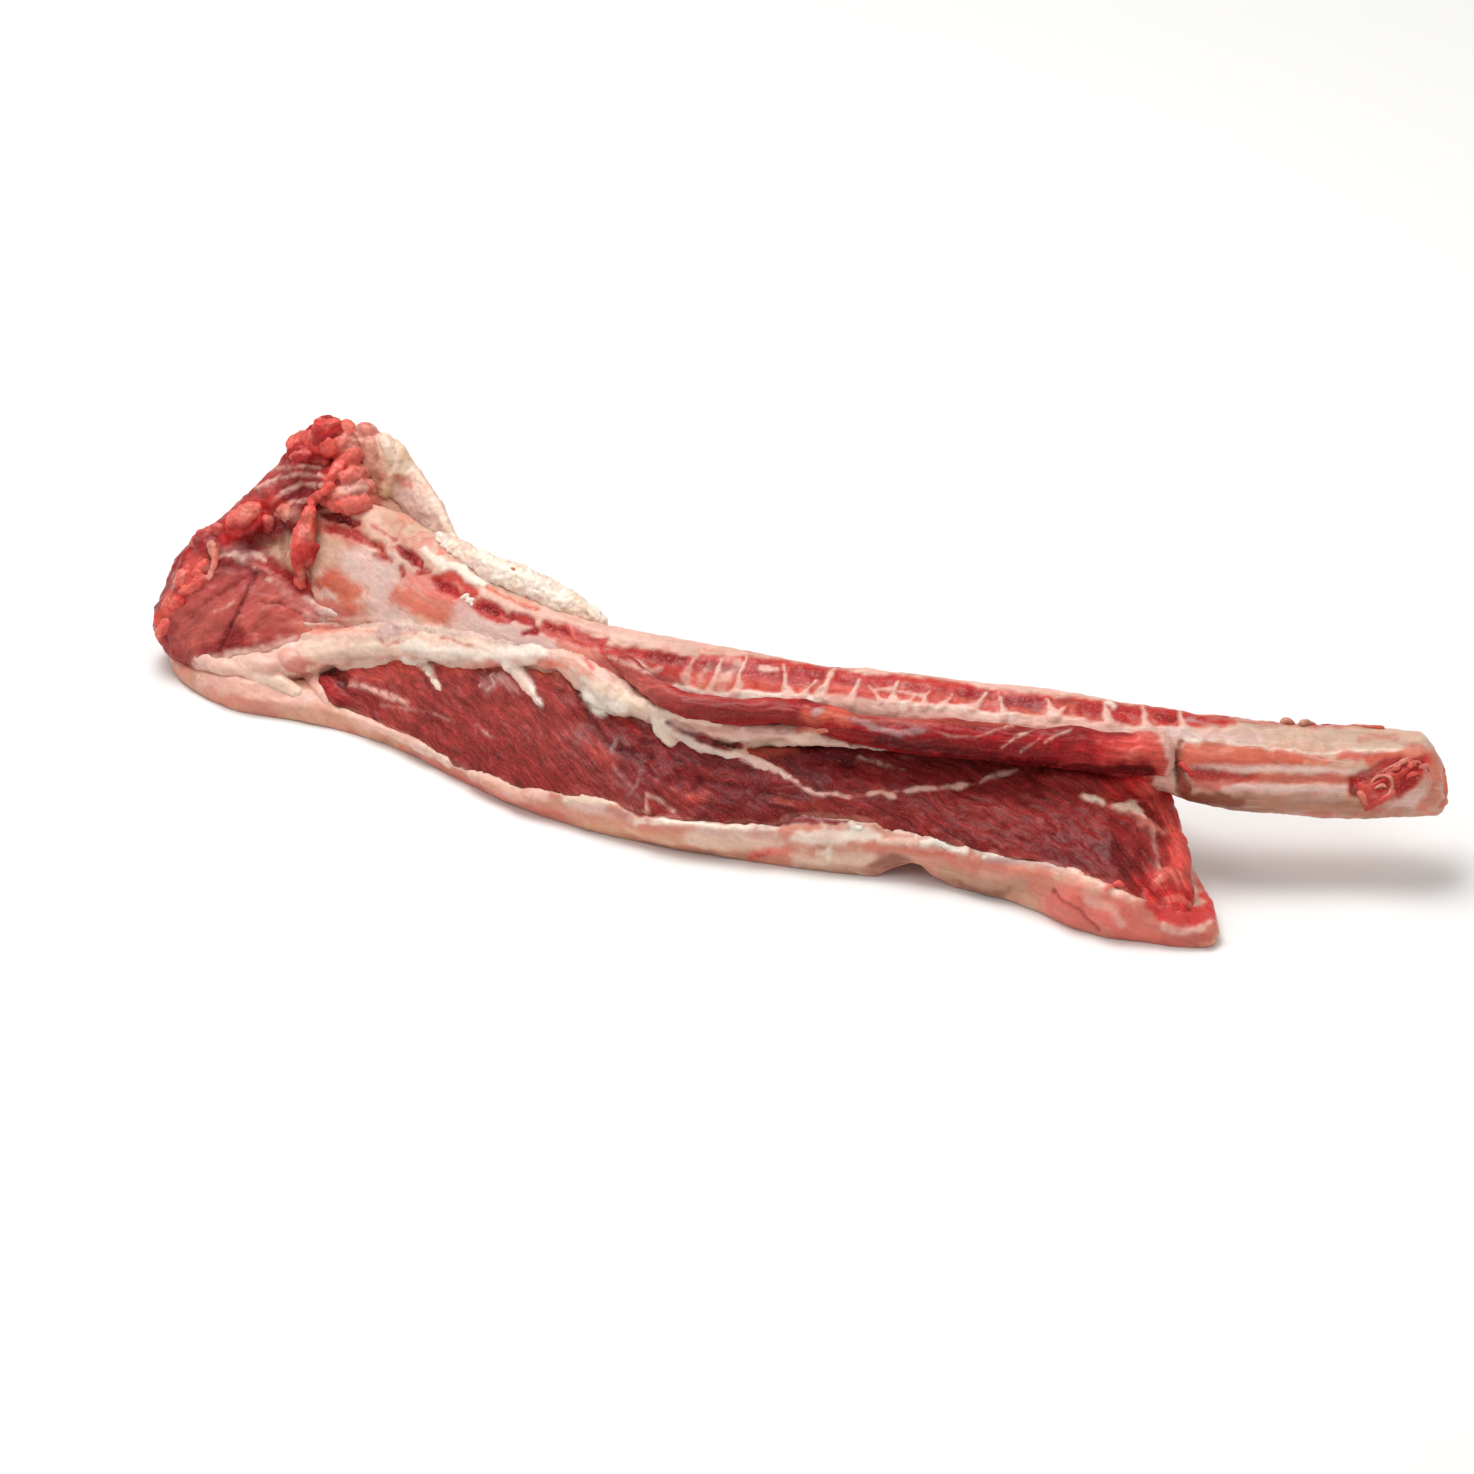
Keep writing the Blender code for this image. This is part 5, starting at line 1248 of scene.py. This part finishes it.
backLook = {
    "base": "white", "swell": 0.4, "voxel": 0.5, "rounds": 7,
    "fibre": (6.0, 1.5), "fibreHeight": 0.1, "crumb": 0.45,
    "lumps": ((6, 0.7, 81), (2.4, 0.5, 82)),
    "blotches": (("butter", 9, 0.3, 0.2, 0.4, 83), ("palePink", 8, 0.4, 0.15, 0.5, 84)),
    "strokes": (
        ("tan", 1.4, 3.5, -0.5, ((488, 585), (515, 600), (545, 612)), 0.6),
        ("lavender", 8, 10, 0, ((430, 548), (460, 560), (480, 575)), 0.4),
        ("salmon", 2, 4, 0, ((425, 555), (445, 566), (470, 580)), 0.5),
        ("brown", 1.2, 3.5, -0.3, ((586, 613), (588, 615)), 0.8),
    ),
}
gristleLook = {
    "base": "palePink", "swell": 0.4, "voxel": 0.55, "rounds": 3,
    "fused": (
        ("blush", (358, 433, 2.6, -0.5), (366, 430, 3.2, -0.8), (373, 436, 2.6, -0.5)),
        (("pinkFat", "sand"), (370, 440, 2.6), (371, 452, 3.0), (369, 464, 2.6), (372, 474, 2.0)),
        (("cream", "butter"), (381, 439, 2.2), (387, 446, 2.8), (389, 456, 2.8), (386, 468, 2.4),
            (382, 478, 1.8)),
        (("cream", "butter"), (392, 441, 1.6), (398, 450, 2.2), (400, 462, 2.2), (394, 474, 2.0),
            (387, 486, 1.8), (381, 498, 1.6)),
        (("butter", "cream"), (404, 456, 1.4, -0.3), (406, 466, 1.6, -0.3), (402, 478, 1.4, -0.3)),
    ),
    "fibre": (8.0, 1.2), "fibreHeight": 0.1, "crumb": 0.18,
    "lumps": ((8, 0.7, 91), (3, 0.3, 92)),
    "blotches": (("white", 9, 0.0, 0.25, 0.5, 93), ("butter", 7, 0.35, 0.15, 0.4, 94)),
    "strokes": (
        ("pinkFat", 9, 10, 0.2, ((362, 442), (372, 460), (380, 480)), 0.8),
        ("cream", 5, 6, 0.5, ((384, 440), (392, 455), (398, 470)), 0.9),
        ("salmon", 5, 7, 0, ((398, 478), (408, 484)), 0.7),
        ("cream", 4, 6, 0.2, ((410, 465), (424, 485), (436, 505), (448, 525), (455, 540)), 0.9),
        ("lavender", 9, 12, 0, ((408, 500), (420, 520), (430, 540)), 0.7),
        ("sand", 7, 9, 0, ((388, 510), (400, 530), (420, 548)), 0.7),
    ),
}


def makeTrimFat():
    finish = dict(fatFinish, grit=0.5, stain=0.1)
    for node, name, slot, look in (
        ("fat_seam", "seamFat", "white_fat", seamLook),
        ("back_fat", "backFat", "white_fat", backLook),
        ("chine_gristle", "chineGristle", "gristle", gristleLook),
    ):
        makePiece(node, name, look, tissue(name + "Finish", finish))


# cut lumps, shreds and folds that stand up from the thick end
# shadedCrease: how strongly the creases between strands are sunk and painted dark as shade
tornLook = {"voxel": 0.5, "crumb": 0.14, "fibre": (6.0, 1.0), "fibreHeight": 0.15, "shadedCrease": 0.35}
crownLook = {
    **tornLook, "rounds": 8, "lumps": ((4.5, 0.8, 111), (1.9, 0.42, 112)),
    "blotches": (("flesh", 7, 0.0, 0.3, 0.6, 113), ("palePink", 5, 0.5, 0.25, 0.3, 114),
        ("blood", 6, 0.5, 0.25, 0.25, 115)),
    "strands": (
        (("bright", "coral"), (314, 432, 2.8, -0.5), (322, 425, 3.8, -1), (331, 423, 3.8, -1),
            (336, 428, 2.6, -0.5)),
        (("flesh", "salmon"), (340, 424, 2.8, -0.5), (348, 430, 3.6, -0.5), (346, 440, 3.2, -0.5),
            (338, 449, 2.6)),
        (("coral", "bright"), (289, 449, 3.0, -0.5), (300, 443, 4.2, -1), (314, 441, 4.6, -1),
            (328, 445, 4.2, -1), (336, 452, 3.0, -0.5)),
        ("bright", (290, 456, 2.2, -0.5), (304, 455, 3.0, -1), (320, 457, 2.8, -1), (332, 462, 2.0, -0.5)),
        (("flesh", "coral"), (361, 450, 2.4, 1), (352, 457, 3.4, 1.5), (341, 466, 3.2, 1.5),
            (332, 475, 2.4, 1), (325, 483, 1.6, 1)),
        ("pinkFat", (356, 440, 2.6, -0.5), (350, 447, 2.6, -0.5)),
        (("pinkFat", "flesh"), (371, 473, 2.6, 0.5), (361, 473, 3.4, 1), (350, 476, 3.0, 1),
            (340, 481, 2.0, 1)),
        (("pinkFat", "flesh"), (372, 487, 3.0, 0.5), (358, 490, 4.2, 0.8), (344, 494, 3.8, 0.8),
            (333, 498, 2.4, 1)),
        ("coral", (335, 482, 1.5, 1.5), (330, 487, 1.8, 2), (324, 493, 1.7, 2)),
        (("flesh", "coral"), (371, 501, 3.2, 0.5), (358, 506, 3.6, 1), (344, 506, 3.2, 1),
            (330, 503, 2.4, 1), (322, 500, 1.6, 1.5)),
        (("blood", "deep"), (374, 511, 1.4), (360, 515, 1.4), (340, 513, 1.2)),
        (("coral", "bright"), (322, 493, 1.5, 2), (316, 498, 1.7, 2.5), (311, 504, 1.8, 2.5),
            (309, 514, 2.6, 2.5), (307, 526, 3.6, 2), (303, 540, 3.8, 1.5), (299, 552, 3.4, 1.2),
            (298, 563, 2.2, 1.2), (299, 574, 1.6, 1.2), (301, 583, 1.9, 1), (303, 589, 1.0, 0.6)),
        (("bright", "blood"), (318, 543, 1.6, 1), (315, 551, 2.4, 1), (310, 560, 2.4, 1),
            (305, 568, 1.8, 1), (301, 574, 1.4, 1)),
    ),
    "strokes": (
        ("salmon", 5, 7, 0, ((308, 520), (306, 535)), 0.6),
        ("palePink", 5, 6, 0, ((344, 490), (362, 488)), 0.6),
        ("blood", 4, 6, 0, ((296, 458), (320, 458)), 0.7),
        ("coral", 4, 6, 0, ((326, 440), (334, 448)), 0.6),
    ),
}
rimLook = {
    **tornLook, "rounds": 7, "lumps": ((4.5, 0.8, 121), (1.9, 0.42, 122)),
    "blotches": (("flesh", 8, 0.0, 0.3, 0.7, 123), ("palePink", 5, 0.5, 0.25, 0.35, 124),
        ("blood", 6, 0.5, 0.25, 0.25, 125)),
    "strands": (
        (("coral", "flesh"), (230, 526, 2.6), (238, 521, 4.0), (246, 518, 4.6), (254, 522, 4.0)),
        (("flesh", "coral"), (238, 514, 2.6), (250, 512, 3.6), (262, 512, 3.4)),
        ("rose", (262, 520, 3.0), (268, 524, 3.0), (270, 532, 2.0)),
        (("rose", "pinkFat"), (278, 508, 2.6), (284, 512, 2.8), (292, 518, 1.8)),
        (("dusky", "blood"), (192, 545, 2.6, -0.5), (204, 536, 3.0, -0.5), (216, 530, 3.0, -0.5),
            (226, 530, 2.4, -0.5)),
        (("pinkFat", "salmon"), (211, 542, 1.4, 0.5), (214, 550, 1.8, 0.8), (217, 560, 1.4, 0.8),
            (213, 570, 1.2, 0.8), (209, 581, 1.0, 0.5)),
        ("coral", (208, 560, 1.8), (200, 568, 2.4), (196, 577, 2.0)),
        (("bright", "coral"), (206, 575, 1.6), (200, 584, 2.4), (190, 590, 2.4), (182, 594, 2.0)),
        ("coral", (190, 572, 2.0), (182, 580, 2.6), (176, 588, 2.2)),
        ("bright", (186, 600, 1.8), (176, 604, 2.4), (170, 610, 2.2)),
        ("rose", (172, 596, 2.0, -0.5), (166, 606, 2.4, -0.5), (162, 616, 2.2, -0.5)),
        ("coral", (170, 620, 2.0), (163, 628, 2.4), (160, 638, 2.0)),
    ),
    "strokes": (
        ("flesh", 14, 10, 0, ((240, 516), (258, 516)), 0.8),
        ("salmon", 5, 8, 0, ((246, 511), (258, 511)), 0.7),
        ("blood", 8, 9, 0, ((232, 530), (248, 533), (262, 530)), 0.8),
    ),
}
endLook = {
    **tornLook, "voxel": 0.42, "rounds": 3, "crumb": 0.12, "shadedCrease": 0.0, "fibreHeight": 0.08,
    "lumps": ((3, 0.25, 141),),
    "strands": (
        (("salmon", "pinkFat"), (1371, 784, 0.6, 0.3), (1376, 778, 0.7, 0.5), (1385, 775, 0.6, 0.6),
            (1392, 779, 0.8, 0.5), (1393, 787, 0.6, 0.4), (1388, 794, 0.6, 0.2)),
        ("pinkFat", (1374, 789, 0.5, 0.2), (1382, 785, 0.6, 0.4), (1387, 788, 0.5, 0.2)),
        (("coral", "marrow"), (1396, 790, 0.8), (1386, 798, 1.1, -0.2), (1374, 804, 1.2, -0.2),
            (1363, 811, 0.9, -0.2)),
        ("salmon", (1358, 792, 1.2), (1364, 797, 1.4), (1366, 805, 1.0)),
        (("salmon", "coral"), (1392, 771, 0.7), (1396, 768, 1.1, 0.2), (1401, 768, 0.8)),
        (("pinkFat", "flesh"), (1399, 764, 0.8), (1404, 762, 1.2, 0.2), (1410, 759, 0.9), (1416, 756, 0.7)),
        (("coral", "salmon"), (1408, 768, 0.7), (1413, 764, 1.0, 0.2), (1420, 762, 0.8)),
        (("flesh", "pinkFat"), (1420, 768, 0.8), (1426, 766, 1.1, 0.2), (1430, 771, 0.8), (1432, 778, 0.7)),
        ("coral", (1406, 778, 0.6), (1413, 774, 0.9), (1420, 773, 0.6)),
        (("orange", "salmon"), (1440, 762, 1.2), (1443, 774, 1.2), (1444, 786, 1.4),
            (1445, 796, 1.6, -0.5)),
        ("salmon", (1436, 806, 1.4), (1442, 804, 1.4), (1446, 800, 1.2)),
        (("sand", "salmon"), (1280, 724, 0.6, 0.2), (1284, 722, 1.3, 1.2), (1288, 723, 1.2, 1.2),
            (1295, 725, 0.6)),
        (("sand", "salmon"), (1300, 724, 0.7, 0.2), (1302, 722, 1.3, 1.3), (1308, 723, 1.2, 0.8),
            (1318, 726, 0.5)),
        ("blood", (1318, 726, 0.4), (1330, 726, 0.7, 0.2), (1344, 727, 0.4)),
        (("salmon", "orange"), (1338, 727, 0.4), (1356, 727, 0.7, 0.4), (1374, 727, 0.9, 0.6),
            (1385, 728, 0.7, 0.8)),
        (("coral", "bright"), (1177, 766, 0.5, 0.2), (1182, 763, 0.8, 0.4), (1185, 768, 1.0, 0.5),
            (1190, 772, 0.9, 0.3), (1192, 778, 0.7)),
    ),
}
crumbLook = {
    "voxel": 0.42, "rounds": 2, "crumb": 0.3, "lumps": ((2.0, 0.35, 151),), "fibre": (6.0, 1.0),
    "strands": (
        ("white", (461, 599, 0.7), (465, 596, 1.0, 0.2), (470, 595, 0.8, 0.3)),
        ("white", (466, 602, 0.8), (471, 601, 1.1, 0.2), (476, 599, 0.8)),
        ("white", (470, 605, 0.6), (474, 604, 0.7)),
        ("salmon", (511, 568, 0.8), (515, 570, 0.8)),
        ("cream", (545, 574, 0.9), (552, 580, 1.1), (560, 584, 0.9)),
        ("white", (850, 824, 0.9), (856, 828, 1.2), (864, 828, 1.0)),
        (("coral", "flesh"), (748, 859, 0.6), (754, 857, 0.9, 0.2), (760, 856, 0.8)),
        (("blood", "coral"), (760, 852, 0.6), (766, 852, 0.8, 0.2), (770, 855, 0.6)),
        ("salmon", (774, 853, 0.6), (781, 854, 0.8), (788, 853, 0.6)),
        ("white", (824, 850, 0.9), (831, 852, 1.1), (829, 857, 0.8)),
        ("coral", (1112, 887, 1.0), (1118, 884, 1.4, 0.3), (1124, 888, 1.0)),
        ("white", (926, 844, 0.8), (938, 842, 1.1, 0.2), (950, 848, 0.9)),
        ("white", (1080, 797, 0.5), (1092, 800, 0.9), (1104, 804, 0.6)),
        ("palePink", (1112, 806, 0.7), (1126, 806, 1.3), (1138, 816, 1.1), (1150, 824, 0.9),
            (1160, 831, 0.5)),
    ),
}


def makeLooseMeat():
    wetMeat = tissue("wetTrimmings", dict(leanFinish, streak=0.14, fleck=0.12, grit=0.4, coat=0.3))
    softFat = tissue("softMembrane", dict(fatFinish, stain=0.12))
    makeStrands("crownMeat", crownLook, wetMeat)
    makeStrands("rimMeat", rimLook, wetMeat)
    makeStrands("boneEndScraps", endLook, wetMeat)
    makeStrands("fatCrumbs", crumbLook, softFat)


# studio
studio = {
    "floorSize": 8.0, "floorColour": (238, 237, 235), "floorRough": 0.8,
    "sky": 0.36, "aim": (0, 0, 0),
    "lights": (  # place, size, watts
        ((-0.35, 0.35, 1.6), 1.1, 25.0),
        ((0.8, -1.0, 1.4), 1.2, 7.0),
        ((-1.2, -0.5, 0.9), 0.8, 4.0),
    ),
}


def makeStudio():
    bpy.ops.mesh.primitive_plane_add(size=studio["floorSize"], location=(0, 0, 0))
    floor = bpy.context.object
    floor.name = "paleFloor"
    paint = bpy.data.materials.new("paleFloorPaint")
    paint.use_nodes = True
    shader = paint.node_tree.nodes["Principled BSDF"]
    shader.inputs["Base Color"].default_value = (*linear(studio["floorColour"]), 1.0)
    shader.inputs["Roughness"].default_value = studio["floorRough"]
    floor.data.materials.append(paint)
    world = bpy.data.worlds.new("studioWorld")
    world.use_nodes = True
    sky = world.node_tree.nodes["Background"]
    sky.inputs["Color"].default_value = (1.0, 1.0, 1.0, 1.0)
    sky.inputs["Strength"].default_value = studio["sky"]
    bpy.context.scene.world = world
    for place, size, watts in studio["lights"]:
        bpy.ops.object.light_add(type="AREA", location=place)
        lamp = bpy.context.object
        lamp.data.size = size
        lamp.data.energy = watts
        way = Vector(studio["aim"]) - Vector(place)
        lamp.rotation_euler = way.to_track_quat("-Z", "Y").to_euler()
    bpy.context.scene.view_settings.view_transform = "Standard"
    print("studio ready")


addCamera()
makeFrontLean()
makeLoinLean()
makeBetweenStrip()
makeRibBone()
makeCoverFat()
makeTrimFat()
makeLooseMeat()
makeStudio()
